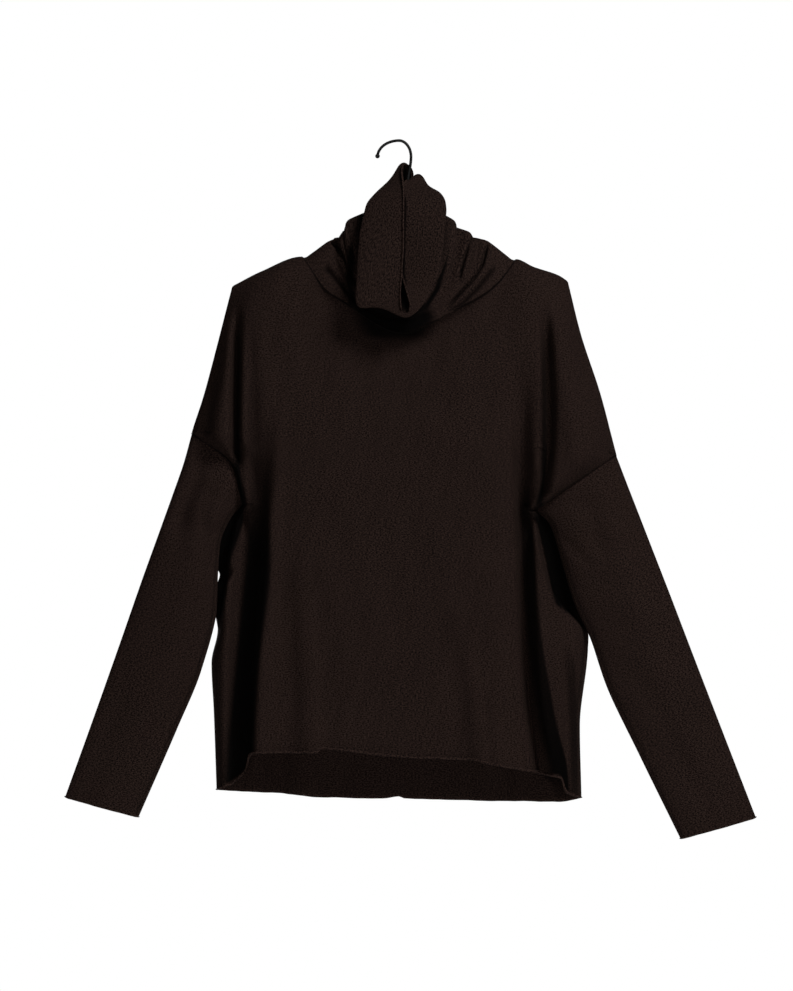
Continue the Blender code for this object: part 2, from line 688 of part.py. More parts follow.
clear_scene()
make_panel("front", -1, FRONT_ROWS)
make_panel("back", 1, BACK_ROWS)
make_sleeve("sleeve_right", -1, SLEEVE_RIGHT)
make_sleeve("sleeve_left", 1, SLEEVE_LEFT)
make_collar()
make_hanger()
make_hook()
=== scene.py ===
import json
import math

import bmesh
import bpy
import numpy as np
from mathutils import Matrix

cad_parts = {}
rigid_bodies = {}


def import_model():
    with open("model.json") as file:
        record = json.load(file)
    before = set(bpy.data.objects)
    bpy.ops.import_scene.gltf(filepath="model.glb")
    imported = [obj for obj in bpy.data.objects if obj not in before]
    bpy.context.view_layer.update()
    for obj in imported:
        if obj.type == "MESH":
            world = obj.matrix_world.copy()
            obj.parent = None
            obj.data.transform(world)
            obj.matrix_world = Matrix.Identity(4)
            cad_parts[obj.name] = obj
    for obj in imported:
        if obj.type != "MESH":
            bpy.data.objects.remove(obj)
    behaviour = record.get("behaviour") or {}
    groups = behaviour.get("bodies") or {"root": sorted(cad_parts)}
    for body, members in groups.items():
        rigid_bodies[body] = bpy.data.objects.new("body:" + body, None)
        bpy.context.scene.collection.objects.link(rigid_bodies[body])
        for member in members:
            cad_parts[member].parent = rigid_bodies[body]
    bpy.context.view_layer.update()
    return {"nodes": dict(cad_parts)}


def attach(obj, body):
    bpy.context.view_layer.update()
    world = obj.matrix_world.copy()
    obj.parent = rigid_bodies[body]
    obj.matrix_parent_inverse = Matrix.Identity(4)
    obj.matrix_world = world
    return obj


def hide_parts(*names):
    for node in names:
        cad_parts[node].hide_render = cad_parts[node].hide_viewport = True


# Jersey turtleneck on a slim hanger. Metres, +Z up, the front faces -Y, heights are drops below the hook.
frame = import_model()
print("frame loaded:", sorted(frame["nodes"]))


# Small helpers for curves and grids

def mixOf(low, high, share):
    return low + (high - low) * share


def rampOf(value):
    value = np.clip(value, 0.0, 1.0)
    return value * value * (3 - 2 * value)


def bumpOf(off):
    return np.exp(-off * off)


def unitOf(vectors):
    return vectors / np.maximum(np.linalg.norm(vectors, axis=-1, keepdims=True), 1e-12)


def curveThrough(rows, knot, value, at):
    # smooth through the rows of a table, without overshoot, for a number or an array
    knots = np.array([row[knot] for row in rows], float)
    values = np.array([row[value] for row in rows], float)
    at = np.asarray(at, float)
    spans = np.diff(knots)
    slopes = np.diff(values) / spans
    leans = np.zeros(len(knots))
    leans[0], leans[-1] = slopes[0], slopes[-1]
    same = slopes[:-1] * slopes[1:] > 0
    total = np.where(same, slopes[:-1] + slopes[1:], 1.0)
    leans[1:-1] = np.where(same, 2 * slopes[:-1] * slopes[1:] / total, 0.0)
    k = np.clip(np.searchsorted(knots, at) - 1, 0, len(spans) - 1)
    t = np.clip((at - knots[k]) / spans[k], 0.0, 1.0)
    rest = 1 - t
    return (
        (1 + 2 * t) * rest * rest * values[k]
        + t * rest * rest * spans[k] * leans[k]
        + t * t * (3 - 2 * t) * values[k + 1]
        - t * t * rest * spans[k] * leans[k + 1]
    )


def numberedRows(rows):
    return [(float(place),) + tuple(row) for place, row in enumerate(rows)]


def waysAlong(grid, axis, closed):
    ahead = unitOf(np.roll(grid, -1, axis=axis) - grid)
    if closed:
        return ahead + np.roll(ahead, 1, axis=axis)
    ways = np.moveaxis(ahead, axis, 0)
    ways[-1] = ways[-2]
    total = ways.copy()
    total[1:] += ways[:-1]
    return np.moveaxis(total, 0, axis)


def gridNormals(grid, closed):
    return unitOf(np.cross(waysAlong(grid, 1, closed), waysAlong(grid, 0, False)))


def smoothGrid(grid, rounds, closed):
    # a few rounds of relaxing inside the grid, its edges stay
    for _ in range(rounds):
        around = (np.roll(grid, 1, axis=1) + np.roll(grid, -1, axis=1)) / 2
        upDown = (np.roll(grid, 1, axis=0) + np.roll(grid, -1, axis=0)) / 2
        relaxed = (2 * grid + around + upDown) / 4
        if closed:
            grid[1:-1] = relaxed[1:-1]
        else:
            grid[1:-1, 1:-1] = relaxed[1:-1, 1:-1]
    return grid


def curlRows(grid, openness, outward, curl, rows):
    # rolls the last row of cloth over, as a raw edge of jersey does, less where the cloth is folded flat
    down = unitOf(grid[-1] - grid[-2])
    count = grid.shape[1]
    along = np.arange(count) / count * math.tau
    waves = np.sin(5 * along + 0.4) + 0.6 * np.sin(13 * along + 2.0) + 0.4 * np.sin(29 * along)
    uneven = 1 + curl["uneven"] * waves
    radius = (curl["radius"] * uneven * np.clip(openness, 0.08, 1.0))[:, None]
    added = []
    for step in range(1, rows + 1):
        angle = curl["turn"] * step / rows
        added.append(grid[-1] + radius * (math.sin(angle) * down + (1 - math.cos(angle)) * outward))
    return np.concatenate([grid, np.array(added)])


def padShade(shade, rows, settings):
    # a painted highlight makes the rolled raw edge paler than the cloth
    shade = shade.copy()
    shade[-1] = np.minimum(shade[-1], settings["edgeHighlight"] / 2)
    return np.concatenate([shade, np.full((rows, shade.shape[1]), settings["edgeHighlight"])])


def clothMesh(name, grid, shade, closed, outwardPoint, material, thickness):
    # one sheet of cloth: the outer face from the grid, a UV in metres along it, and a wall inwards
    rows, columns = grid.shape[:2]
    mesh = bpy.data.meshes.new(name)
    spans = columns if closed else columns - 1
    faces = []
    for row in range(rows - 1):
        for column in range(spans):
            after = (column + 1) % columns
            here = row * columns
            faces.append((here + column, here + after, here + columns + after, here + columns + column))
    mesh.from_pydata(grid.reshape(-1, 3).tolist(), [], faces)
    wide = grid if not closed else np.concatenate([grid, grid[:, :1]], axis=1)
    stepsAcross = np.linalg.norm(np.diff(wide, axis=1), axis=2)
    across = np.concatenate([np.zeros((rows, 1)), np.cumsum(stepsAcross, axis=1)], axis=1)
    across -= across.mean(axis=1, keepdims=True)
    stepsDown = np.linalg.norm(np.diff(wide, axis=0), axis=2).mean(axis=1)
    down = np.concatenate([[0.0], np.cumsum(stepsDown)])
    layer = mesh.uv_layers.new(name="clothUv")
    corners = []
    for row in range(rows - 1):
        for column in range(spans):
            for rowStep, columnStep in ((0, 0), (0, 1), (1, 1), (1, 0)):
                corners.append((across[row + rowStep, column + columnStep], -down[row + rowStep]))
    layer.data.foreach_set("uv", np.array(corners, np.float32).reshape(-1))
    # the shade attribute: painted shade in hollows, painted highlights on raw edges, and dark seam lines
    paintedLightAndSeams = mesh.attributes.new("shade", "FLOAT", "POINT")
    paintedLightAndSeams.data.foreach_set("value", shade.astype(np.float32).reshape(-1))
    mesh.shade_smooth()
    piece = bpy.data.objects.new(name, mesh)
    bpy.context.scene.collection.objects.link(piece)
    normal = mesh.polygons[len(mesh.polygons) // 2].normal
    centre = mesh.polygons[len(mesh.polygons) // 2].center
    if normal.dot(centre - outwardPoint(centre)) < 0:
        mesh.flip_normals()
    mesh.materials.append(material)
    wall = piece.modifiers.new("wall", "SOLIDIFY")
    wall.thickness = thickness
    wall.offset = -1.0
    wall.use_rim = True
    return piece


# The jersey: one shader group for the knit, and one material for all the cloth

jerseySettings = {
    "waleWidth": 0.0011,       # one column of stitches
    "courseHeight": 0.0009,    # one row of stitches
    "heatherSize": 0.0012,     # length of the paler fibres' flecks
    "darkTone": (0.0020, 0.0010, 0.0009, 1.0),
    "paleTone": (0.0235, 0.0140, 0.0112, 1.0),
    "roughness": (0.80, 0.95),
    "bumpHeight": 0.00022,
    "shadeStrength": 0.95,        # how far the painted shade darkens the cloth
    "edgeHighlight": -0.45,        # painted highlight on the rolled edges, below zero is paler
    "sheen": 0.004,
    "sheenTint": (0.60, 0.48, 0.42, 1.0),
}


def addNode(tree, kind, **settings):
    node = tree.nodes.new(kind)
    for key, value in settings.items():
        setattr(node, key, value)
    return node


def mathNode(tree, operation, first, second=None):
    node = addNode(tree, "ShaderNodeMath", operation=operation)
    for socket, value in zip(node.inputs, (first, second)):
        if value is None:
            continue
        if isinstance(value, (int, float)):
            socket.default_value = value
        else:
            tree.links.new(value, socket)
    return node.outputs[0]


def buildKnitGroup():
    group = bpy.data.node_groups.new("knitGrain", "ShaderNodeTree")
    for name, kind in (("Vector", "NodeSocketVector"), ("Wale Width", "NodeSocketFloat"),
                       ("Course Height", "NodeSocketFloat"), ("Heather Size", "NodeSocketFloat")):
        group.interface.new_socket(name=name, in_out="INPUT", socket_type=kind)
    for name in ("Tone", "Height", "Fuzz"):
        group.interface.new_socket(name=name, in_out="OUTPUT", socket_type="NodeSocketFloat")
    entry = addNode(group, "NodeGroupInput")
    leave = addNode(group, "NodeGroupOutput")
    split = addNode(group, "ShaderNodeSeparateXYZ")
    group.links.new(entry.outputs["Vector"], split.inputs[0])
    # stitch columns are rounded ridges, and each stitch is a small V down its column
    column = mathNode(group, "DIVIDE", split.outputs["X"], entry.outputs["Wale Width"])
    inColumn = mathNode(group, "ABSOLUTE", mathNode(group, "SUBTRACT", mathNode(group, "FRACT", column), 0.5))
    ridge = mathNode(group, "SUBTRACT", 1.0, mathNode(group, "MULTIPLY", inColumn, 2.0))
    course = mathNode(group, "DIVIDE", split.outputs["Y"], entry.outputs["Course Height"])
    slanted = mathNode(group, "ADD", course, mathNode(group, "MULTIPLY", inColumn, 1.3))
    wave = mathNode(group, "SINE", mathNode(group, "MULTIPLY", slanted, math.tau))
    loops = mathNode(group, "MULTIPLY_ADD", wave, 0.5)
    loops.node.inputs[2].default_value = 0.5
    # paler fibres lie mostly along the courses
    stretched = addNode(group, "ShaderNodeVectorMath", operation="MULTIPLY")
    stretched.inputs[1].default_value = (0.55, 1.0, 1.0)
    group.links.new(entry.outputs["Vector"], stretched.inputs[0])
    flecks = addNode(group, "ShaderNodeTexNoise")
    flecks.inputs["Detail"].default_value = 3.0
    flecks.inputs["Roughness"].default_value = 0.65
    group.links.new(stretched.outputs[0], flecks.inputs["Vector"])
    group.links.new(mathNode(group, "DIVIDE", 1.0, entry.outputs["Heather Size"]), flecks.inputs["Scale"])
    broad = addNode(group, "ShaderNodeTexNoise")
    broad.inputs["Scale"].default_value = 14.0
    broad.inputs["Detail"].default_value = 4.0
    group.links.new(entry.outputs["Vector"], broad.inputs["Vector"])
    columnPart = mathNode(group, "MULTIPLY", ridge, 0.6)
    knit = mathNode(group, "ADD", columnPart, mathNode(group, "MULTIPLY", loops, 0.4))
    heather = mathNode(group, "MULTIPLY", mathNode(group, "SUBTRACT", flecks.outputs["Fac"], 0.5), 6.5)
    patch = mathNode(group, "MULTIPLY", mathNode(group, "SUBTRACT", broad.outputs["Fac"], 0.5), 0.22)
    lit = mathNode(group, "MULTIPLY", mathNode(group, "SUBTRACT", knit, 0.5), 0.35)
    tone = mathNode(group, "ADD", mathNode(group, "ADD", heather, patch), mathNode(group, "ADD", lit, 0.5))
    tone.node.use_clamp = True
    group.links.new(tone, leave.inputs["Tone"])
    height = mathNode(group, "ADD", knit, mathNode(group, "MULTIPLY", flecks.outputs["Fac"], 0.5))
    group.links.new(height, leave.inputs["Height"])
    group.links.new(flecks.outputs["Fac"], leave.inputs["Fuzz"])
    return group


knitGroup = buildKnitGroup()


def jerseyMaterial(name):
    settings = jerseySettings
    material = bpy.data.materials.new(name)
    material.use_nodes = True
    tree = material.node_tree
    shader = tree.nodes["Principled BSDF"]
    uv = addNode(tree, "ShaderNodeUVMap", uv_map="clothUv")
    grain = addNode(tree, "ShaderNodeGroup")
    grain.node_tree = knitGroup
    grain.inputs["Wale Width"].default_value = settings["waleWidth"]
    grain.inputs["Course Height"].default_value = settings["courseHeight"]
    grain.inputs["Heather Size"].default_value = settings["heatherSize"]
    tree.links.new(uv.outputs[0], grain.inputs["Vector"])
    tones = addNode(tree, "ShaderNodeMix", data_type="RGBA")
    tones.inputs["A"].default_value = settings["darkTone"]
    tones.inputs["B"].default_value = settings["paleTone"]
    tree.links.new(grain.outputs["Tone"], tones.inputs["Factor"])
    # painted shade darkens the colour in deep hollows and a painted highlight makes raw edges pale, by the
    # shade attribute
    hollow = addNode(tree, "ShaderNodeAttribute", attribute_name="shade")
    keep = mathNode(tree, "MULTIPLY_ADD", hollow.outputs["Fac"], -settings["shadeStrength"])
    keep.node.inputs[2].default_value = 1.0
    darken = addNode(tree, "ShaderNodeVectorMath", operation="SCALE")
    tree.links.new(tones.outputs["Result"], darken.inputs[0])
    tree.links.new(keep, darken.inputs["Scale"])
    tree.links.new(darken.outputs[0], shader.inputs["Base Color"])
    rough = addNode(tree, "ShaderNodeMapRange")
    rough.inputs["To Min"].default_value, rough.inputs["To Max"].default_value = settings["roughness"]
    tree.links.new(grain.outputs["Fuzz"], rough.inputs["Value"])
    tree.links.new(rough.outputs["Result"], shader.inputs["Roughness"])
    bump = addNode(tree, "ShaderNodeBump")
    bump.inputs["Strength"].default_value = 0.7
    bump.inputs["Distance"].default_value = settings["bumpHeight"]
    tree.links.new(grain.outputs["Height"], bump.inputs["Height"])
    tree.links.new(bump.outputs["Normal"], shader.inputs["Normal"])
    shader.inputs["Sheen Weight"].default_value = settings["sheen"]
    shader.inputs["Sheen Roughness"].default_value = 0.45
    shader.inputs["Sheen Tint"].default_value = settings["sheenTint"]
    shader.inputs["Specular IOR Level"].default_value = 0.03
    return material


jersey = jerseyMaterial("heatherJersey")
print("jersey made")


# The body: both panels between the two side edges, from the shoulder line to the hem

bodySettings = {
    "wall": 0.0011,
    "seamGap": 0.0004,
    "levels": (
        # name, right drop, right x, left drop, left x, front depth, back depth
        ("shoulder tip", 0.1740, -0.1996, 0.1680, 0.2020, 0.024, 0.022),
        ("upper drape", 0.2480, -0.2184, 0.2300, 0.2172, 0.030, 0.026),
        ("lower drape", 0.3060, -0.2340, 0.3036, 0.2412, 0.034, 0.028),
        ("armhole top", 0.3492, -0.2484, 0.3756, 0.2604, 0.036, 0.029),
        ("armhole bend", 0.3870, -0.1990, 0.4092, 0.2100, 0.036, 0.029),
        ("armpit", 0.4344, -0.1872, 0.4416, 0.1632, 0.035, 0.029),
        ("under the arm", 0.4600, -0.2070, 0.4620, 0.1835, 0.034, 0.028),
        ("high ribs", 0.5050, -0.2205, 0.4850, 0.1910, 0.033, 0.027),
        ("ribs", 0.5190, -0.2140, 0.5120, 0.2000, 0.033, 0.027),
        ("waist", 0.5350, -0.2185, 0.5530, 0.2125, 0.032, 0.026),
        ("under the waist", 0.5640, -0.2195, 0.5760, 0.2215, 0.031, 0.026),
        ("below the waist", 0.5850, -0.2165, 0.5930, 0.2268, 0.031, 0.025),
        ("hip", 0.6252, -0.2240, 0.6200, 0.2250, 0.030, 0.025),
        ("low hip", 0.6840, -0.2212, 0.7020, 0.2160, 0.029, 0.024),
        ("hem", 0.7764, -0.2180, 0.7860, 0.2180, 0.028, 0.024),
    ),
    "armholeTop": 3,
    "armpit": 5,
    "shoulderLine": (
        (-0.1996, 0.1740), (-0.1644, 0.1560), (-0.1164, 0.1385),
        (0.1404, 0.1416), (0.1608, 0.1506), (0.1908, 0.1608), (0.2020, 0.1680),
    ),
    "neckEnds": (-0.1164, 0.1404),
    "frontNeckline": (
        (-0.1164, 0.1385), (-0.1032, 0.1572), (-0.0888, 0.1776), (-0.0732, 0.1880), (0.0072, 0.2292),
        (0.0576, 0.2060), (0.1032, 0.1824), (0.1236, 0.1644), (0.1404, 0.1416),
    ),
    "backNeckSag": 0.010,
    "neckDepths": (0.045, 0.028),
    "shoulderRound": 0.034,
    "sideRound": 0.055,
    "edgeRound": (0.050, 0.016),      # at the shoulders, and below the arms
    "roundFrom": (
        # right drop, right x, left drop, left x: where the sides start to turn, past the narrow armpits
        (0.1740, -0.1996, 0.1680, 0.2020),
        (0.2480, -0.2184, 0.2300, 0.2172),
        (0.3060, -0.2340, 0.3036, 0.2412),
        (0.3492, -0.2450, 0.3756, 0.2540),
        (0.4000, -0.2330, 0.4100, 0.2350),
        (0.4400, -0.2230, 0.4500, 0.2180),
        (0.5110, -0.2180, 0.5120, 0.2160),
        (0.6252, -0.2240, 0.6200, 0.2250),
        (0.7764, -0.2180, 0.7860, 0.2180),
    ),
    "foldEdge": 0.022,
    "leastDepth": 0.0012,
    "armDepth": 0.018,
    "armpitWay": (0.917, 0.4),
    "hollowEdge": 0.0055,
    "rightHollow": (
        # drop, how far the hollow under the arm reaches in from the side edge
        (0.4300, 0.000), (0.4380, 0.004), (0.4600, 0.012), (0.5000, 0.0165), (0.5280, 0.0120),
        (0.5650, 0.0080), (0.5850, 0.0020), (0.5950, 0.000),
    ),
    "leftHollow": (
        (0.4380, 0.000), (0.4460, 0.004), (0.4620, 0.020), (0.4913, 0.0260), (0.5370, 0.0300),
        (0.5520, 0.0260), (0.5680, 0.0140), (0.5850, 0.0030), (0.5950, 0.000),
    ),
    "columns": (44, 100, 40),
    "shoulderRows": 62,
    "armRows": 30,
    "bodyRows": 100,
    "rowCrowding": 1.6,
}
frontSettings = {
    "hem": (
        (-0.2180, 0.7764), (-0.1968, 0.7650), (-0.1850, 0.7540), (-0.1760, 0.7350), (-0.1680, 0.7315),
        (-0.1390, 0.7300), (-0.1020, 0.7300), (-0.0960, 0.7255), (-0.0650, 0.7280), (-0.0230, 0.7330),
        (0.0250, 0.7368), (0.0900, 0.7388), (0.0990, 0.7420), (0.1130, 0.7450), (0.1550, 0.7530),
        (0.1930, 0.7608), (0.1990, 0.7780), (0.2180, 0.7860),
    ),
    # painted shade: dark bands where shadow falls in the troughs, valleys and hollows under the arms and the
    # collar
    # name, softness of the lower x edge and of the upper, then drop, lower x, upper x and strength
    "shades": (
        ("right trough", 0.010, 0.006, (
            (0.290, -0.1720, -0.1570, 0.0), (0.380, -0.1740, -0.1560, 0.22), (0.430, -0.1800, -0.1545, 0.55),
            (0.4944, -0.1835, -0.1529, 0.97), (0.6468, -0.1995, -0.1687, 1.0),
            (0.7296, -0.2075, -0.1732, 1.0), (0.820, -0.2110, -0.1760, 1.0))),
        ("right armpit valley", 0.004, 0.004, (
            (0.190, -0.1940, -0.1920, 0.0), (0.235, -0.1960, -0.1905, 0.5), (0.390, -0.1975, -0.1895, 0.97),
            (0.431, -0.1920, -0.1820, 1.0), (0.450, -0.1880, -0.1800, 0.0))),
        ("right chest hollow", 0.008, 0.008, (
            (0.250, -0.1800, -0.1740, 0.0), (0.320, -0.1800, -0.1735, 0.30), (0.410, -0.1780, -0.1710, 0.35),
            (0.450, -0.1800, -0.1720, 0.0))),
        ("under the right arm", 0.010, 0.004, (
            (0.430, -0.3000, -0.1890, 0.0), (0.4380, -0.3000, -0.1850, 1.0), (0.5000, -0.3000, -0.2004, 1.0),
            (0.5280, -0.3000, -0.2048, 1.0), (0.5650, -0.3000, -0.2102, 1.0), (0.5780, -0.3000, -0.2150, 0.8),
            (0.5880, -0.3000, -0.2200, 0.0))),
        ("left armpit valley", 0.004, 0.004, (
            (0.220, 0.1700, 0.1740, 0.0), (0.278, 0.1690, 0.1755, 0.6), (0.400, 0.1692, 0.1764, 0.95),
            (0.431, 0.1630, 0.1730, 1.0), (0.447, 0.1580, 0.1680, 0.0))),
        ("left band", 0.012, 0.003, (
            (0.400, 0.1450, 0.1560, 0.0), (0.444, 0.1440, 0.1596, 0.75), (0.583, 0.1536, 0.1692, 0.85),
            (0.697, 0.1682, 0.1884, 0.95), (0.755, 0.1814, 0.2016, 1.0), (0.830, 0.1900, 0.2060, 1.0))),
        ("under the left arm", 0.003, 0.010, (
            (0.440, 0.1560, 0.3000, 0.0), (0.451, 0.1618, 0.3000, 1.0), (0.491, 0.1733, 0.3000, 1.0),
            (0.537, 0.1824, 0.3000, 1.0), (0.5525, 0.1862, 0.3000, 1.0), (0.568, 0.2046, 0.3000, 0.9),
            (0.583, 0.2191, 0.3000, 0.7), (0.592, 0.2250, 0.3000, 0.0))),
        ("left side strip", 0.006, 0.004, (
            (0.600, 0.1960, 0.2060, 0.0), (0.640, 0.2000, 0.2110, 0.55), (0.720, 0.2040, 0.2130, 0.65),
            (0.830, 0.2050, 0.2150, 0.5))),
        ("under the collar", 0.030, 0.030, (
            (0.190, -0.0560, 0.0400, 0.95), (0.214, -0.0500, 0.0380, 0.97), (0.2300, -0.0420, 0.0330, 0.95),
            (0.240, -0.0300, 0.0280, 0.35), (0.250, -0.0100, 0.0200, 0.0))),
    ),
    "folds": (
        # name, start, end, x at start, midway, end, half width, rise at start, at end, lean, steepness
        ("right shoulder drape", 0.174, 0.480, -0.2010, -0.2150, -0.2250, 0.0110, 0.007, 0.010, 0.0, 2.0),
        ("right outer slope", 0.200, 0.480, -0.2160, -0.2330, -0.2420, 0.0110, -0.004, -0.006, 0.0, 2.0),
        ("right armpit valley", 0.185, 0.480, -0.1935, -0.1950, -0.1860, 0.0052, -0.018, -0.026, 0.0, 2.4),
        ("right chest trough", 0.210, 0.440, -0.1790, -0.1760, -0.1740, 0.0080, -0.004, -0.006, 0.0, 2.0),
        ("right chest crest", 0.210, 0.480, -0.1860, -0.1850, -0.1810, 0.0045, 0.003, 0.005, 0.0, 2.0),
        ("right bust trough", 0.300, 0.990, -0.1640, -0.1860, -0.1920, 0.0165, -0.019, -0.028, 0.0, 3.6),
        ("right bust crest", 0.330, 0.990, -0.1430, -0.1620, -0.1680, 0.0080, 0.006, 0.012, -0.009, 2.0),
        ("right side crest", 0.470, 0.990, -0.2085, -0.2090, -0.2070, 0.0060, 0.003, 0.005, 0.0, 2.0),
        ("right soft fold", 0.440, 0.990, -0.1180, -0.1080, -0.1050, 0.0100, 0.002, 0.0065, 0.004, 2.0),
        ("right soft hollow", 0.440, 0.990, -0.1360, -0.1310, -0.1270, 0.0110, -0.002, -0.005, 0.0, 2.0),
        ("right inner hollow", 0.520, 0.990, -0.0860, -0.0850, -0.0840, 0.0130, -0.001, -0.004, 0.0, 2.0),
        ("left armpit valley", 0.185, 0.490, 0.1735, 0.1800, 0.1600, 0.0062, -0.016, -0.026, 0.0, 2.4),
        ("left shoulder drape", 0.174, 0.430, 0.1950, 0.2050, 0.2200, 0.0120, 0.004, 0.006, 0.0, 2.0),
        ("left chest crest", 0.230, 0.480, 0.1660, 0.1680, 0.1570, 0.0050, 0.002, 0.004, 0.0, 2.0),
        ("left bust trough", 0.250, 0.990, 0.1440, 0.1560, 0.2160, 0.0090, -0.019, -0.028, 0.0, 3.0),
        ("left bust slope", 0.250, 0.990, 0.1320, 0.1410, 0.1930, 0.0130, -0.004, -0.008, 0.0, 2.0),
        ("left strip crest", 0.430, 0.990, 0.1560, 0.1700, 0.2240, 0.0065, 0.005, 0.009, -0.004, 2.0),
        ("left soft fold", 0.560, 0.990, 0.0780, 0.0990, 0.1130, 0.0090, 0.002, 0.008, 0.004, 2.0),
        ("left soft hollow", 0.560, 0.990, 0.0600, 0.0760, 0.0860, 0.0120, -0.001, -0.005, 0.0, 2.0),
        ("left hem fold", 0.640, 0.990, 0.1120, 0.1200, 0.1290, 0.0065, 0.002, 0.006, 0.003, 2.0),
        ("centre sway", 0.300, 0.990, -0.0300, 0.0000, 0.0100, 0.0600, 0.002, -0.005, 0.0, 2.0),
        ("under the collar", 0.215, 0.330, 0.0080, 0.0060, 0.0040, 0.0500, -0.004, -0.001, 0.0, 2.0),
        ("bust left", 0.300, 0.620, 0.0750, 0.0700, 0.0650, 0.0500, 0.002, 0.002, 0.0, 2.0),
        ("bust right", 0.300, 0.600, -0.0850, -0.0800, -0.0750, 0.0450, 0.002, 0.002, 0.0, 2.0),
    ),
}
backSettings = {
    "hem": (
        (-0.2180, 0.7764), (-0.1330, 0.7820), (-0.0900, 0.7860), (-0.0230, 0.7872), (0.0010, 0.7850),
        (0.0060, 0.7874), (0.0250, 0.7880), (0.1930, 0.7910), (0.2180, 0.7860),
    ),
    # painted shade in the armpit valleys and inside the hem
    "shades": (
        ("right armpit valley", 0.006, 0.006, (
            (0.230, -0.1930, -0.1870, 0.0), (0.390, -0.1940, -0.1860, 0.8), (0.431, -0.1900, -0.1820, 0.9),
            (0.470, -0.1900, -0.1820, 0.0))),
        ("left armpit valley", 0.006, 0.006, (
            (0.230, 0.1740, 0.1800, 0.0), (0.390, 0.1700, 0.1780, 0.8), (0.431, 0.1620, 0.1700, 0.9),
            (0.470, 0.1620, 0.1700, 0.0))),
        ("inside the hem", 0.010, 0.010, (
            (0.745, 0.1700, 0.2150, 0.0), (0.755, 0.1700, 0.2120, 0.7), (0.775, 0.1850, 0.2080, 0.5),
            (0.795, 0.1900, 0.2060, 0.0))),
    ),
    "folds": (
        ("right shoulder drape", 0.180, 0.470, -0.2040, -0.2150, -0.2250, 0.0120, 0.005, 0.006, 0.0, 2.0),
        ("right armpit valley", 0.205, 0.500, -0.1900, -0.1900, -0.1810, 0.0080, -0.010, -0.015, 0.0, 1.7),
        ("right back trough", 0.330, 0.980, -0.1600, -0.1700, -0.1740, 0.0130, -0.004, -0.010, 0.0, 2.0),
        ("right back fold", 0.400, 0.980, -0.1350, -0.1480, -0.1540, 0.0130, 0.004, 0.009, 0.004, 2.0),
        ("right inner trough", 0.460, 0.980, -0.1000, -0.1080, -0.1120, 0.0140, -0.003, -0.008, 0.0, 2.0),
        ("right inner fold", 0.550, 0.980, -0.0620, -0.0680, -0.0720, 0.0150, 0.001, 0.005, 0.0, 2.0),
        ("middle fold", 0.480, 0.980, 0.0050, 0.0030, 0.0020, 0.0110, 0.001, 0.006, 0.0, 1.8),
        ("left inner fold", 0.530, 0.980, 0.0640, 0.0720, 0.0800, 0.0150, 0.001, 0.005, 0.0, 2.0),
        ("left back trough", 0.440, 0.980, 0.0980, 0.1060, 0.1140, 0.0140, -0.003, -0.009, 0.0, 2.0),
        ("left back fold", 0.410, 0.980, 0.1300, 0.1460, 0.1600, 0.0130, 0.004, 0.009, -0.004, 2.0),
        ("left armpit valley", 0.200, 0.500, 0.1770, 0.1800, 0.1620, 0.0090, -0.010, -0.015, 0.0, 1.7),
        ("across the shoulders", 0.170, 0.330, -0.0200, 0.0000, 0.0200, 0.1000, 0.003, 0.001, 0.0, 2.0),
    ),
}
hemCurl = {"radius": 0.0010, "uneven": 0.16, "turn": math.radians(205)}


def foldShift(x, drop, folds):
    outward = np.zeros_like(x)
    sideways = np.zeros_like(x)
    for name, start, end, xStart, xMid, xEnd, halfWidth, riseStart, riseEnd, lean, steepness in folds:
        t = (drop - start) / (end - start)
        line = ((0.0, xStart), (0.5, xMid), (1.0, xEnd))
        off = (x - curveThrough(line, 0, 1, t)) / halfWidth
        fade = np.where((t > 0) & (t < 1), rampOf(t / 0.22) * rampOf((1 - t) / 0.22), 0.0)
        shape = np.exp(-(np.sqrt(off * off + 0.03) - 0.173) ** steepness) * fade
        outward += mixOf(riseStart, riseEnd, np.clip(t, 0, 1)) * shape
        sideways += lean * np.clip(t * 1.2, 0, 1) * shape
    return outward, sideways


def shadeBands(x, drop, bands):
    # painted shade, darker the deeper in a hollow each point lies, from the tables of bands
    shade = np.zeros_like(x)
    for name, softLow, softHigh, rows in bands:
        low, high, strength = [curveThrough(rows, 0, column, drop) for column in (1, 2, 3)]
        inside = (drop >= rows[0][0]) & (drop <= rows[-1][0])
        edges = rampOf((x - low) / softLow + 0.5) * rampOf((high - x) / softHigh + 0.5)
        shade = np.maximum(shade, strength * edges * inside)
    return shade


def clothSway(x, drop, side):
    # small unevenness that hanging jersey always has
    return (
        0.0007 * np.sin(x * 61 + drop * 17 + side) * np.sin(drop * 23 + 0.7)
        + 0.0005 * np.sin(x * 133 - drop * 31 + 2.1 * side) * np.sin(drop * 11 + 1.9)
        + 0.0003 * np.sin(x * 247 + drop * 71 + 0.5)
    )


def columnShares():
    rightTip, leftTip = bodySettings["shoulderLine"][0][0], bodySettings["shoulderLine"][-1][0]
    rightNeck, leftNeck = [(end - rightTip) / (leftTip - rightTip) for end in bodySettings["neckEnds"]]
    first, middle, last = bodySettings["columns"]
    return np.concatenate([
        np.linspace(0, rightNeck, first + 1)[:-1],
        np.linspace(rightNeck, leftNeck, middle + 1)[:-1],
        np.linspace(leftNeck, 1, last + 1),
    ])


def neckEdge(x, side):
    right, left = bodySettings["neckEnds"]
    across = (2 * x - right - left) / (left - right)
    bow = np.sqrt(np.clip(1 - across * across, 0, 1))
    if side < 0:
        return bodySettings["neckDepths"][0] * bow, curveThrough(bodySettings["frontNeckline"], 0, 1, x)
    line = bodySettings["shoulderLine"]
    ends = mixOf(line[2][1], line[3][1], (across + 1) / 2)
    return bodySettings["neckDepths"][1] * bow, ends + bodySettings["backNeckSag"] * bow


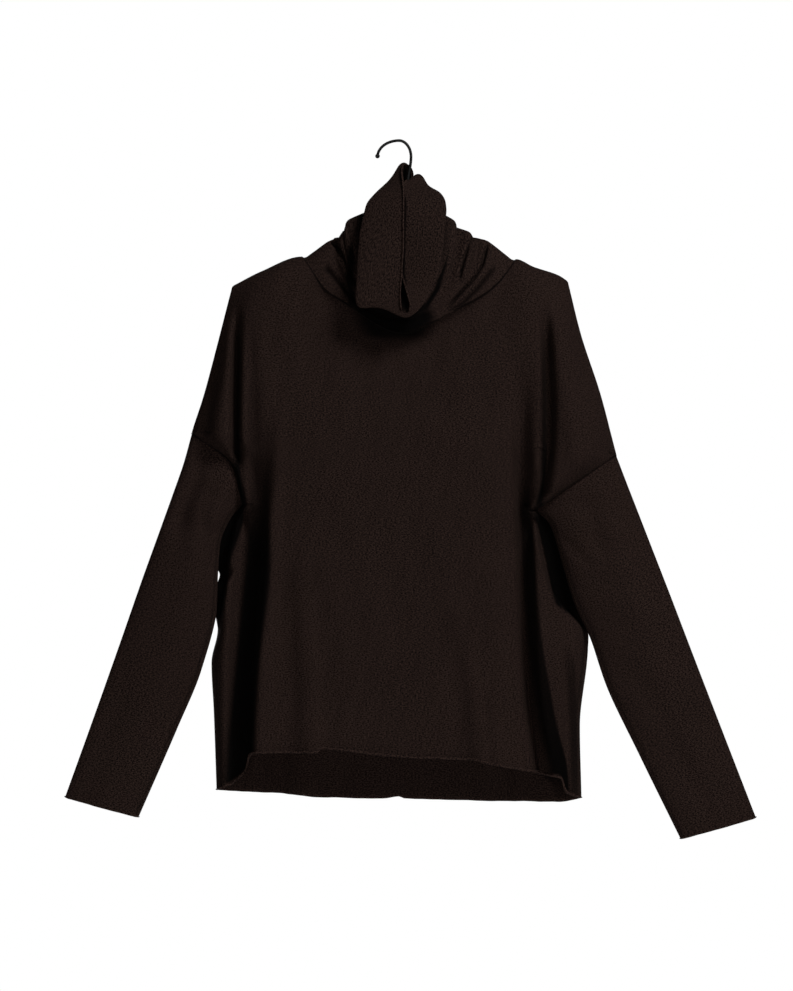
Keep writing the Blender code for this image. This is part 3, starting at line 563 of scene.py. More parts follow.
def topEdge(x, side):
    right, left = bodySettings["neckEnds"]
    neckDepth, neckDrop = neckEdge(x, side)
    inside = (x > right) & (x < left)
    shoulderDrop = curveThrough(bodySettings["shoulderLine"], 0, 1, x)
    return np.where(inside, neckDepth, 0.0), np.where(inside, neckDrop, shoulderDrop)


def armEdge(sign, share):
    dropColumn, xColumn = (2, 3) if sign < 0 else (4, 5)
    rows = numberedRows(bodySettings["levels"])[bodySettings["armholeTop"]:bodySettings["armpit"] + 1]
    lengths = [
        math.hypot(after[dropColumn] - here[dropColumn], after[xColumn] - here[xColumn])
        for here, after in zip(rows, rows[1:])
    ]
    places = (0.0, lengths[0] / sum(lengths), 1.0)
    placed = [(place,) + row for place, row in zip(places, rows)]
    return curveThrough(placed, 0, xColumn + 1, share), curveThrough(placed, 0, dropColumn + 1, share)


def panelRows():
    levels = numberedRows(bodySettings["levels"])
    top, pit = bodySettings["armholeTop"], bodySettings["armpit"]
    upper, lower = levels[:top + 1], levels[pit:]
    count = bodySettings["shoulderRows"]
    share = (np.arange(count) / count) ** bodySettings["rowCrowding"]
    rightDrop, leftDrop = mixOf(upper[0][2], upper[-1][2], share), mixOf(upper[0][4], upper[-1][4], share)
    drape = [share * 0, share, rightDrop, curveThrough(upper, 2, 3, rightDrop), leftDrop,
             curveThrough(upper, 4, 5, leftDrop), share * 0]
    angle = math.pi * np.arange(bodySettings["armRows"] + 1) / bodySettings["armRows"]
    share = (1 - np.cos(angle)) / 2
    rightX, rightDrop = armEdge(-1, share)
    leftX, leftDrop = armEdge(1, share)
    edgeDepth = bodySettings["armDepth"] * np.sin(angle)
    armhole = [share * 0 + 1, share, rightDrop, rightX, leftDrop, leftX, edgeDepth]
    share = np.arange(1, bodySettings["bodyRows"] + 1) / bodySettings["bodyRows"]
    rightDrop, leftDrop = mixOf(lower[0][2], lower[-1][2], share), mixOf(lower[0][4], lower[-1][4], share)
    trunk = [share * 0 + 2, share, rightDrop, curveThrough(lower, 2, 3, rightDrop), leftDrop,
             curveThrough(lower, 4, 5, leftDrop), share * 0]
    return [np.concatenate(columns)[:, None] for columns in zip(drape, armhole, trunk)]


def panelGrid(side, settings):
    block, share, rightDrop, rightX, leftDrop, leftX, edgeDepth = panelRows()
    across = columnShares()[None, :]
    levels = numberedRows(bodySettings["levels"])
    rightTip, leftTip = bodySettings["shoulderLine"][0][0], bodySettings["shoulderLine"][-1][0]
    top, pit = bodySettings["armholeTop"], bodySettings["armpit"]
    x = mixOf(rightX, leftX, across)
    sideDrop = mixOf(rightDrop, leftDrop, across)
    topDepth, topDrop = topEdge(mixOf(rightTip, leftTip, across), side)
    drapeDrop = mixOf(topDrop, mixOf(levels[top][2], levels[top][4], across), share)
    armpitDrop = mixOf(levels[pit][2], levels[pit][4], across)
    trunkDrop = mixOf(armpitDrop, curveThrough(settings["hem"], 0, 1, x), share)
    drop = np.where(block == 0, drapeDrop, np.where(block == 1, sideDrop, trunkDrop))
    levelDrop = np.clip(sideDrop, levels[0][2], levels[-1][2])
    full = curveThrough(levels, 2, 6 if side < 0 else 7, levelDrop)
    fromEdge = np.maximum(np.minimum(x - rightX, leftX - x), 0.0)
    rightRound = curveThrough(bodySettings["roundFrom"], 0, 1, rightDrop)
    leftRound = curveThrough(bodySettings["roundFrom"], 2, 3, leftDrop)
    fromRound = np.maximum(np.minimum(x - rightRound, leftRound - x), 0.0)
    lens = np.sqrt(1 - (1 - np.minimum(fromRound / bodySettings["sideRound"], 1.0)) ** 2)
    wide, narrow = bodySettings["edgeRound"]
    edgeRound = mixOf(wide, narrow, rampOf((sideDrop - 0.37) / 0.09))
    closing = np.sqrt(1 - (1 - np.minimum(fromEdge / edgeRound, 1.0)) ** 2)
    depth = mixOf(edgeDepth, np.maximum(full * lens, edgeDepth), closing)
    outward, sideways = foldShift(x, drop, settings["folds"])
    hold = rampOf(fromEdge / bodySettings["foldEdge"])
    depth = depth + (outward + clothSway(x, drop, side)) * hold
    turn = 1 - np.minimum(np.maximum(drop - topDrop, 0.0) / bodySettings["shoulderRound"], 1.0)
    roundDown = np.sqrt(1 - turn * turn)
    depth = mixOf(topDepth + 0 * depth, depth, roundDown)
    if side < 0:
        depth = depth * sideHollows(x, drop, rightX, leftX)
    inner = (across > 0) & (across < 1) & (roundDown > 0)
    depth = np.where(inner, np.maximum(depth, bodySettings["leastDepth"]), depth)
    x = x + sideways * hold * roundDown
    # painted shade in the hollows, from the bands
    shade = shadeBands(x, drop, settings["shades"])
    # thin dark lines at the armholes and neck, and down the side seams
    first, middle, last = bodySettings["columns"]
    column = np.arange(first + middle + last + 1)[None, :]
    atNeck = (column > first) & (column < first + middle) & (drop - topDrop < 0.0012)
    atArm = (block == 1) & (fromEdge < 0.0012)
    sideSeam = (block == 2) * 0.5 * bumpOf((fromEdge - 0.0055) / 0.0013)
    shade = np.maximum(shade, np.maximum((atNeck | atArm) * 0.75, sideSeam))
    return np.stack([x, side * (bodySettings["seamGap"] / 2 + depth), -drop], axis=2), shade


def sideHollows(x, drop, rightX, leftX):
    # the front lies back under each arm, from the side edge inwards
    keep = 1.0
    sides = ((bodySettings["rightHollow"], x - rightX), (bodySettings["leftHollow"], leftX - x))
    for reach, fromSide in sides:
        inward = curveThrough(reach, 0, 1, drop)
        edge = np.minimum(bodySettings["hollowEdge"], np.maximum(inward, 1e-4))
        pressed = rampOf((inward - fromSide) / edge + 0.5) * np.clip(inward / 0.004, 0, 1)
        keep = keep * (1 - 0.97 * pressed)
    return keep


seamPaths = []


def keepSeamPaths(grid, normals):
    # where the stitches beside the armholes and the neck go
    lifted = grid + normals * 0.0001
    start = bodySettings["shoulderRows"]
    arm = slice(start + 1, start + bodySettings["armRows"])
    first, middle, last = bodySettings["columns"]
    seamPaths.extend([lifted[arm, 2], lifted[arm, -3], lifted[2, first + 3:first + middle - 2]])


def makePanel(name, side, settings, node):
    grid, shade = panelGrid(side, settings)
    normals = gridNormals(grid, False)
    normals *= np.where(normals[..., 1:2] * side < 0, -1, 1)
    grid = grid + normals * bodySettings["wall"]
    grid[..., 1] = side * np.maximum(grid[..., 1] * side, bodySettings["seamGap"] / 2)
    keepSeamPaths(grid, normals)
    column = np.arange(grid.shape[1])
    openness = np.minimum(column, column[::-1]) / 7
    grid = curlRows(grid, openness, normals[-1], hemCurl, 6)
    # painted highlight on the rolled hem
    shade = padShade(shade, 6, jerseySettings)
    piece = clothMesh(name, grid, shade, False, lambda at: at * 1.0 - type(at)((0, side, 0)), jersey,
                      bodySettings["wall"])
    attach(piece, "root")
    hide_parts(node)
    return piece


frontCloth = makePanel("frontCloth", -1, frontSettings, "front")
backCloth = makePanel("backCloth", 1, backSettings, "back")
print("panels made")


# The sleeves: a flat hanging tube each, from the armhole to the raw cuff

sleeveSettings = {
    "wall": 0.0011,
    "around": 84,
    "rings": 150,
    "armGap": 0.0007,
    "underSeam": 0.955,
    "right": (
        # name, outer x, outer drop, under x, under drop, half depth, forward
        ("upper arm", -0.2580, 0.3850, -0.2020, 0.4525, 0.0185, 0.0060),
        ("mid upper arm", -0.2700, 0.4200, -0.2142, 0.4830, 0.0175, 0.0100),
        ("above the elbow", -0.2850, 0.4620, -0.2168, 0.5200, 0.0160, 0.0125),
        ("elbow", -0.3060, 0.5200, -0.2182, 0.5600, 0.0145, 0.0120),
        ("forearm", -0.3340, 0.6000, -0.2370, 0.6340, 0.0125, 0.0090),
        ("low forearm", -0.3660, 0.6900, -0.2665, 0.7050, 0.0105, 0.0050),
        ("cuff", -0.4003, 0.7850, -0.3120, 0.8090, 0.0100, 0.0020),
    ),
    "left": (
        # name, outer x, outer drop, under x, under drop, half depth, forward
        ("upper arm", 0.2710, 0.4040, 0.1800, 0.4580, 0.0190, 0.0060),
        ("mid upper arm", 0.2860, 0.4430, 0.1958, 0.5065, 0.0180, 0.0100),
        ("above the elbow", 0.3030, 0.4870, 0.2098, 0.5530, 0.0165, 0.0125),
        ("elbow", 0.3240, 0.5410, 0.2290, 0.5950, 0.0150, 0.0120),
        ("forearm", 0.3520, 0.6140, 0.2480, 0.6510, 0.0130, 0.0090),
        ("low forearm", 0.3880, 0.7070, 0.2890, 0.7370, 0.0105, 0.0050),
        ("cuff", 0.4278, 0.8095, 0.3372, 0.8350, 0.0100, 0.0020),
    ),
    # name, place down the sleeve at start and end, place across at both, half width, rise
    # across, 0 is the outer edge and 1 the under edge
    "rightFolds": (
        ("drape crest", -0.20, 0.34, 0.66, 0.80, 0.12, 0.0065),
        ("outer slope", -0.20, 0.50, 0.22, 0.25, 0.20, -0.0050),
        ("upper hollow", 0.02, 0.45, 0.34, 0.22, 0.10, -0.0035),
        ("elbow crease", 0.20, 0.42, 0.95, 0.60, 0.07, -0.0022),
        ("second crease", 0.30, 0.52, 0.98, 0.70, 0.06, -0.0016),
        ("long crest", 0.15, 0.95, 0.52, 0.60, 0.13, 0.0018),
        ("under seam", 0.10, 1.00, 0.93, 0.95, 0.016, -0.0010),
        ("cuff hollow", 0.72, 1.10, 0.20, 0.30, 0.12, -0.0020),
    ),
    "leftFolds": (
        ("upper hollow", 0.04, 0.40, 0.55, 0.50, 0.12, -0.0022),
        ("elbow crease", 0.18, 0.38, 0.96, 0.66, 0.06, -0.0020),
        ("long crest", 0.10, 0.95, 0.36, 0.45, 0.15, 0.0018),
        ("under seam", 0.12, 1.00, 0.94, 0.955, 0.015, -0.0008),
        ("cuff hollow", 0.70, 1.10, 0.62, 0.52, 0.12, -0.0018),
    ),
}
cuffCurl = {"radius": 0.0007, "uneven": 0.12, "turn": math.radians(190)}


def armRing(sign, count):
    angle = math.tau * np.arange(count) / count
    share = (1 - np.cos(angle)) / 2
    x, drop = armEdge(sign, share)
    aheadX, aheadDrop = armEdge(sign, np.minimum(share + 0.02, 1.0))
    behindX, behindDrop = armEdge(sign, np.maximum(share - 0.02, 0.0))
    along = unitOf(np.stack([aheadX - behindX, 0 * x, behindDrop - aheadDrop], axis=1))
    way = np.stack([along[:, 2], 0 * x, -along[:, 0]], axis=1) * -sign
    goal = np.array((sign * bodySettings["armpitWay"][0], 0.0, bodySettings["armpitWay"][1]))
    way = unitOf(mixOf(way, goal, (share ** 4)[:, None]))
    points = np.stack([x, -bodySettings["armDepth"] * np.sin(angle), -drop], axis=1)
    return points, way


def makeSleeve(name, sign, sections, folds, node):
    count, rings = sleeveSettings["around"], sleeveSettings["rings"]
    seam, way = armRing(sign, count)
    angle = math.tau * np.arange(count) / count
    topX, topDrop = armEdge(sign, 0.0)
    pitX, pitDrop = armEdge(sign, 1.0)
    armDepth = bodySettings["armDepth"]
    armholeRow = ("armhole", float(topX), float(topDrop), float(pitX), float(pitDrop), armDepth, 0.0)
    table = numberedRows([armholeRow] + list(sections))
    place = (np.arange(1, rings + 1) / rings)[:, None]
    row = place * len(sections)
    outerX, outerDrop, underX, underDrop, halfDepth, forward = [
        curveThrough(table, 0, column, row) for column in range(2, 8)
    ]
    share = ((1 - np.cos(angle)) / 2)[None, :]
    x = mixOf(outerX, underX, share)
    drop = mixOf(outerDrop, underDrop, share)
    front = np.sin(angle)[None, :]
    depth = halfDepth * front
    for foldName, start, end, shareStart, shareEnd, halfWidth, rise in folds:
        t = (place - start) / (end - start)
        off = (share - mixOf(shareStart, shareEnd, np.clip(t, 0, 1))) / halfWidth
        fade = np.where((t > 0) & (t < 1), rampOf(t / 0.25) * rampOf((1 - t) / 0.25), 0.0)
        facing = np.where(front > 0, 1.0, -0.7)
        depth = depth + facing * rise * bumpOf(off) * fade
    depth = depth + 0.0006 * np.sin(place * 41 + share * 9) * np.sin(share * math.pi) * np.sign(front)
    tube = np.stack([x, -depth - forward, -drop], axis=2)
    seamRing = (seam + sleeveSettings["armGap"] * way)[None]
    grid = np.concatenate([seamRing, tube])
    first = 10    # rings over which the tube takes up the armhole's own bend
    for ring in range(1, first):
        keep = rampOf(np.array(ring / first))
        onTable = mixOf(seam, tube[first], ring / first)
        grid[ring] = mixOf(onTable, grid[ring], keep)
    normals = gridNormals(grid, True)
    middle = grid.mean(axis=1, keepdims=True)
    if ((grid - middle) * normals).sum() < 0:
        normals = -normals
    grid[0] = grid[0] + normals[0] * bodySettings["wall"] * 0.6
    # thin dark lines at the armhole and along the under seam
    facing = np.where(front > 0, 1.0, 0.5)
    shade = 0.55 * bumpOf((share - sleeveSettings["underSeam"]) / 0.011) * facing * rampOf(place / 0.1)
    shade = np.concatenate([0 * shade[:1] + 0.8, shade])
    # painted highlight on the rolled cuff
    shade = padShade(shade, 6, jerseySettings)
    grid = curlRows(grid, np.abs(front[0]) * 2.2, normals[-1], cuffCurl, 6)
    piece = clothMesh(name, grid, shade, True, lambda at: type(at)((at.x, 0, at.z)), jersey,
                      sleeveSettings["wall"])
    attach(piece, "root")
    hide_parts(node)
    return piece


sleeveRight = makeSleeve("sleeveRightCloth", -1, sleeveSettings["right"],
                         sleeveSettings["rightFolds"], "sleeve_right")
sleeveLeft = makeSleeve("sleeveLeftCloth", 1, sleeveSettings["left"],
                        sleeveSettings["leftFolds"], "sleeve_left")
print("sleeves made")


# The collar: one wide tube from the neckline, over the tuck, to the raw mouth round the hook

collarSettings = {
    "wall": 0.0010,
    "around": 200,
    "steps": 22,
    "roofX": 0.010,
    "loops": (
        # name, right x, left x, side drop, bottom drop, top drop, bottom y, side y, top y, corner, roof
        ("lowest swag", -0.0860, 0.1080, 0.1200, 0.2200, 0.1120, -0.0470, -0.0085, 0.0265, 1.00, 0.50),
        ("lowest crease", -0.0760, 0.0930, 0.1190, 0.2140, 0.1000, -0.0440, -0.0060, 0.0235, 1.00, 0.60),
        ("middle swag", -0.0685, 0.0850, 0.1090, 0.2080, 0.0880, -0.0445, -0.0150, 0.0225, 0.95, 0.80),
        ("middle crease", -0.0620, 0.0690, 0.1085, 0.2030, 0.0790, -0.0415, -0.0125, 0.0195, 0.95, 0.85),
        ("upper swag", -0.0620, 0.0660, 0.0950, 0.1960, 0.0660, -0.0425, -0.0200, 0.0180, 0.90, 0.90),
        ("tuck", -0.0260, 0.0300, 0.0880, 0.1750, 0.0520, -0.0500, -0.0310, 0.0130, 0.80, 1.00),
    ),
    "flapEdge": (
        # place round the tube, x, drop, y
        (0.000, -0.0462, 0.1116, -0.0500), (0.060, -0.0495, 0.1500, -0.0600), (0.120, -0.0516, 0.1900, -0.0680),
        (0.138, -0.0512, 0.2000, -0.0690), (0.150, -0.0455, 0.2025, -0.0700), (0.175, -0.0330, 0.2000, -0.0700),
        (0.200, -0.0200, 0.2010, -0.0720), (0.225, -0.0060, 0.2075, -0.0740), (0.250, 0.0080, 0.2128, -0.0755),
        (0.275, 0.0210, 0.2055, -0.0740), (0.300, 0.0310, 0.1940, -0.0715), (0.350, 0.0400, 0.1760, -0.0680),
        (0.400, 0.0470, 0.1570, -0.0640), (0.450, 0.0515, 0.1320, -0.0580), (0.500, 0.0545, 0.1030, -0.0500),
        (0.550, 0.0566, 0.0830, -0.0380), (0.580, 0.0550, 0.0700, -0.0280), (0.610, 0.0490, 0.0610, -0.0180),
        (0.645, 0.0370, 0.0545, -0.0080), (0.665, 0.0330, 0.0500, -0.0020), (0.685, 0.0290, 0.0410, 0.0040),
        (0.705, 0.0232, 0.0368, 0.0075), (0.720, 0.0175, 0.0415, 0.0090), (0.736, 0.0125, 0.0475, 0.0100),
        (0.750, 0.0120, 0.0330, 0.0085), (0.765, 0.0080, 0.0250, 0.0075), (0.785, 0.0005, 0.0275, 0.0050),
        (0.815, -0.0060, 0.0390, 0.0000), (0.850, -0.0130, 0.0480, -0.0080), (0.890, -0.0270, 0.0610, -0.0200),
        (0.930, -0.0385, 0.0745, -0.0320), (0.965, -0.0425, 0.0930, -0.0420),
    ),
    "mouth": (
        # place round the tube, x, drop, y
        (0.000, 0.0046, 0.1000, -0.0590), (0.060, 0.0044, 0.1300, -0.0650), (0.120, 0.0024, 0.1600, -0.0700),
        (0.180, 0.0006, 0.1850, -0.0740), (0.220, 0.0012, 0.1990, -0.0760), (0.240, 0.0040, 0.2065, -0.0770),
        (0.253, 0.0080, 0.2095, -0.0770), (0.267, 0.0120, 0.2060, -0.0760), (0.285, 0.0140, 0.1980, -0.0740),
        (0.320, 0.0105, 0.1850, -0.0690), (0.380, 0.0036, 0.1600, -0.0560), (0.440, 0.0038, 0.1300, -0.0480),
        (0.500, 0.0044, 0.1000, -0.0420), (0.570, 0.0048, 0.0740, -0.0320), (0.640, 0.0040, 0.0600, -0.0200),
        (0.680, 0.0060, 0.0520, -0.0110), (0.710, 0.0100, 0.0470, -0.0045), (0.730, 0.0160, 0.0430, 0.0010),
        (0.742, 0.0168, 0.0370, 0.0045), (0.752, 0.0145, 0.0300, 0.0060), (0.765, 0.0100, 0.0262, 0.0040),
        (0.785, 0.0050, 0.0285, -0.0030), (0.815, 0.0036, 0.0380, -0.0130), (0.860, 0.0046, 0.0520, -0.0280),
        (0.930, 0.0050, 0.0750, -0.0470),
    ),
    "creases": (
        # half width, depth, then x and drop of each point from its upper end
        (0.0022, 0.0075, ((0.0885, 0.1150), (0.0799, 0.1359), (0.0748, 0.1527), (0.0723, 0.1760))),
        (0.0024, 0.0080, (
            (0.1060, 0.1240), (0.0990, 0.1494), (0.0883, 0.1662), (0.0698, 0.1864), (0.0520, 0.2080))),
        (0.0022, 0.0070, ((-0.0615, 0.1010), (-0.0565, 0.1190), (-0.0515, 0.1400), (-0.0490, 0.1600))),
        (0.0026, 0.0085, (
            (-0.0820, 0.1190), (-0.0733, 0.1274), (-0.0666, 0.1409), (-0.0532, 0.1662), (-0.0460, 0.1850))),
        (0.0040, 0.0050, ((-0.0900, 0.1500), (-0.0700, 0.1700), (-0.0520, 0.1900), (-0.0300, 0.2060))),
        (0.0030, 0.0040, ((0.1150, 0.1500), (0.0950, 0.1750), (0.0750, 0.1950), (0.0500, 0.2130))),
    ),
    "creasedRows": 5.2,
    # painted shade in the creases, inside the tuck and in the slit
    "creaseShade": 0.75,
    "tuckShade": (5.05, 6.95),
    "slitShade": (7.87, 0.33, 0.63),     # from this row on, between these places round the tube
    # painted shadow under the flap and painted shade beside its edges
    "shades": (
        # half width, strength, then x and drop of each point
        (0.0125, 1.00, ((-0.0480, 0.2080), (-0.0250, 0.2180), (0.0050, 0.2260), (0.0300, 0.2120))),
        (0.0070, 0.95, ((-0.0500, 0.1960), (-0.0200, 0.2060), (0.0080, 0.2140), (0.0300, 0.2000))),
        (0.0050, 0.95, ((-0.0560, 0.1300), (-0.0575, 0.1600), (-0.0560, 0.1950))),
        (0.0034, 1.00, (
            (0.0590, 0.0860), (0.0572, 0.1180), (0.0535, 0.1500), (0.0450, 0.1780), (0.0330, 0.1980))),
    ),
}
mouthCurl = {"radius": 0.0008, "uneven": 0.15, "turn": math.radians(170)}


def neckRing(half):
    right, left = bodySettings["neckEnds"]
    forward = mixOf(right, left, np.arange(half) / half)
    backward = mixOf(left, right, np.arange(half) / half)
    frontDepth, frontDrop = neckEdge(forward, -1)
    backDepth, backDrop = neckEdge(backward, 1)
    front = np.stack([forward, -frontDepth, -frontDrop], axis=1)
    back = np.stack([backward, backDepth, -backDrop], axis=1)
    return np.concatenate([front, back])


def collarLoop(row, half):
    (name, rightX, leftX, sideDrop, bottomDrop, topDrop, bottomY, sideY, topY, corner, roof) = row
    angle = math.pi * np.arange(half) / half
    reach, sink = np.cos(angle), np.sin(angle)
    middleX = (rightX + leftX) / 2
    endX = np.where(reach > 0, rightX, leftX)
    x = mixOf(middleX, endX, np.abs(reach) ** corner)
    front = np.stack([x, mixOf(sideY, bottomY, sink), -mixOf(sideDrop, bottomDrop, sink ** corner)], axis=1)
    step = np.arange(half) / half
    climb = 1 - np.abs(1 - 2 * step)
    endX = np.where(step < 0.5, leftX, rightX)
    inward = mixOf(1 - np.cos(climb * math.pi / 2), climb, roof)
    upward = mixOf(np.sin(climb * math.pi / 2), climb, roof)
    x = mixOf(endX, collarSettings["roofX"], inward)
    back = np.stack([x, mixOf(sideY, topY, upward), -mixOf(sideDrop, topDrop, upward)], axis=1)
    return np.concatenate([front, back])


def tableLoop(rows, count):
    # a closed loop of points through a given table, rounded a little
    places = np.array([row[0] for row in rows] + [1.0 + rows[0][0]])
    at = np.arange(count) / count
    columns = []
    for column in (1, 2, 3):
        values = [row[column] for row in rows] + [rows[0][column]]
        columns.append(np.interp(at, places, values))
    loop = np.stack([columns[0], columns[2], -columns[1]], axis=1)
    for _ in range(3):
        loop = (2 * loop + np.roll(loop, 1, axis=0) + np.roll(loop, -1, axis=0)) / 4
    return loop


def offCrease(points, line):
    # distance of each point from a crease seen from the front, and the place along the crease
    best = np.full(points.shape[:-1], 1.0)
    place = np.zeros(points.shape[:-1])
    total = len(line) - 1
    for step, (start, end) in enumerate(zip(line, line[1:])):
        start, end = np.array((start[0], -start[1])), np.array((end[0], -end[1]))
        way = end - start
        t = np.clip(((points[..., (0, 2)] - start) @ way) / way.dot(way), 0, 1)
        off = np.linalg.norm(points[..., (0, 2)] - (start + t[..., None] * way), axis=-1)
        place = np.where(off < best, (step + t) / total, place)
        best = np.minimum(best, off)
    return best, place


def throughLoops(loops, place):
    k = min(int(place), len(loops) - 2)
    t = place - k
    here, after = loops[k], loops[k + 1]
    leanHere = (after - loops[max(k - 1, 0)]) / 2
    leanAfter = (loops[min(k + 2, len(loops) - 1)] - here) / 2
    rest = 1 - t
    return ((1 + 2 * t) * rest * rest * here + t * rest * rest * leanHere
            + t * t * (3 - 2 * t) * after - t * t * rest * leanAfter)


def makeCollar():
    half = collarSettings["around"] // 2
    seam = neckRing(half)
    peak = np.array((collarSettings["roofX"], 0.0, -0.06))
    toPeak = unitOf(peak - seam)
    foot = seam + bodySettings["seamGap"] * toPeak
    loops = [foot] + [collarLoop(row, half) for row in collarSettings["loops"]]
    loops += [tableLoop(collarSettings[name], 2 * half) for name in ("flapEdge", "mouth")]
    steps = collarSettings["steps"]
    grid = np.array([throughLoops(loops, step / steps) for step in range(steps * (len(loops) - 1) + 1)])
    grid = smoothGrid(grid, 6, True)
    normals = gridNormals(grid, True)
    outside = seam - seam.mean(axis=0)
    if (normals[2] * outside).sum() < 0:
        normals = -normals
    creased = int(collarSettings["creasedRows"] * steps)
    taper = rampOf(np.arange(creased) / steps / 0.35) * rampOf((creased - np.arange(creased)) / steps / 0.5)
    facing = np.clip(-normals[:creased, :, 1] * 3, 0, 1) * taper[:, None]
    shade = np.zeros(grid.shape[:2])
    shade[0] = 0.75
    # painted shade inside the tuck, a painted highlight along the flap's folded edge
    rowPlace = (np.arange(len(grid)) / steps)[:, None]
    low, high = collarSettings["tuckShade"]
    shade = np.maximum(shade, 0.95 * rampOf((rowPlace - low) / 0.5) * rampOf((high - rowPlace) / 0.25))
    shade = shade - 0.30 * bumpOf((rowPlace - 7.0) / 0.07)
    slitRow, slitStart, slitEnd = collarSettings["slitShade"]
    around = (np.arange(2 * half) / (2 * half))[None, :]
    inSlit = rampOf((around - slitStart) / 0.04) * rampOf((slitEnd - around) / 0.04)
    shade = np.maximum(shade, 0.97 * rampOf((rowPlace - slitRow) / 0.05) * inSlit)
    # painted shadow under the flap and painted shade beside it
    for halfWidth, strength, line in collarSettings["shades"]:
        off, place = offCrease(grid[:creased], line)
        turned = np.clip(1 - normals[:creased, :, 1] * 3, 0, 1)
        shade[:creased] = np.maximum(shade[:creased], strength * np.exp(-(off / halfWidth) ** 4) * turned)
    for halfWidth, deep, line in collarSettings["creases"]:
        off, place = offCrease(grid[:creased], line)
        fade = rampOf(place / 0.10 + 0.25) * rampOf((1 - place) / 0.25)
        push = -deep * bumpOf(off / halfWidth) + 0.35 * deep * bumpOf(off / (3.2 * halfWidth))
        grid[:creased] += normals[:creased] * (push * fade * facing)[..., None]
        # painted shade along each crease
        pressed = collarSettings["creaseShade"] * bumpOf(off / halfWidth) * fade * facing
        shade[:creased] = np.maximum(shade[:creased], pressed)
    normals = gridNormals(grid, True)
    if (normals[2] * outside).sum() < 0:
        normals = -normals
    grid = grid + normals * collarSettings["wall"] / 2
    grid = curlRows(grid, np.ones(2 * half), normals[-1], mouthCurl, 5)
    # painted highlight on the rolled mouth
    shade = padShade(shade, 5, jerseySettings)
    piece = clothMesh("collarCloth", grid, shade, True, lambda at: at, jersey, collarSettings["wall"])
    if piece.data.polygons[half // 2].normal.y > 0:
        piece.data.flip_normals()
    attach(piece, "root")
    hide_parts("collar")
    return piece


collarCloth = makeCollar()
print("collar made")


# Wire hook and seam stitches, each along a path

wireSettings = {
    "radius": 0.0017,
    "sides": 20,
    "ball": 0.0028,
    "leftReach": 0.0258,
    "rightReach": 0.0144,
    "fall": 0.0195,
    "easeDrop": 0.036,    # over which the wire eases from the bend to the stem
    "stemX": 0.010,
    "stemEnd": 0.114,
    "colour": (0.006, 0.006, 0.006, 1.0),
}


def treeWith(name, inputs):
    tree = bpy.data.node_groups.new(name, "GeometryNodeTree")
    tree.interface.new_socket(name="Geometry", in_out="INPUT", socket_type="NodeSocketGeometry")
    for inputName, kind in inputs:
        tree.interface.new_socket(name=inputName, in_out="INPUT", socket_type=kind)
    tree.interface.new_socket(name="Geometry", in_out="OUTPUT", socket_type="NodeSocketGeometry")
    return tree, addNode(tree, "NodeGroupInput"), addNode(tree, "NodeGroupOutput")


def buildTubeTree():
    # a round tube along each path
    tree, entry, leave = treeWith("tubeAlongPath", (
        ("Radius", "NodeSocketFloat"), ("Sides", "NodeSocketInt"), ("Material", "NodeSocketMaterial")))
    path = addNode(tree, "GeometryNodeMeshToCurve")
    profile = addNode(tree, "GeometryNodeCurvePrimitiveCircle")
    tube = addNode(tree, "GeometryNodeCurveToMesh")
    smooth = addNode(tree, "GeometryNodeSetShadeSmooth")
    realize = addNode(tree, "GeometryNodeRealizeInstances")
    dress = addNode(tree, "GeometryNodeSetMaterial")
    link = tree.links.new
    link(entry.outputs["Geometry"], path.inputs["Mesh"])
    link(entry.outputs["Sides"], profile.inputs["Resolution"])
    link(entry.outputs["Radius"], profile.inputs["Radius"])
    link(path.outputs["Curve"], tube.inputs["Curve"])
    link(profile.outputs["Curve"], tube.inputs["Profile Curve"])
    tube.inputs["Fill Caps"].default_value = True
    link(tube.outputs["Mesh"], smooth.inputs["Geometry"])
    link(smooth.outputs["Geometry"], realize.inputs["Geometry"])
    link(realize.outputs["Geometry"], dress.inputs["Geometry"])
    link(entry.outputs["Material"], dress.inputs["Material"])
    link(dress.outputs["Geometry"], leave.inputs["Geometry"])
    return tree


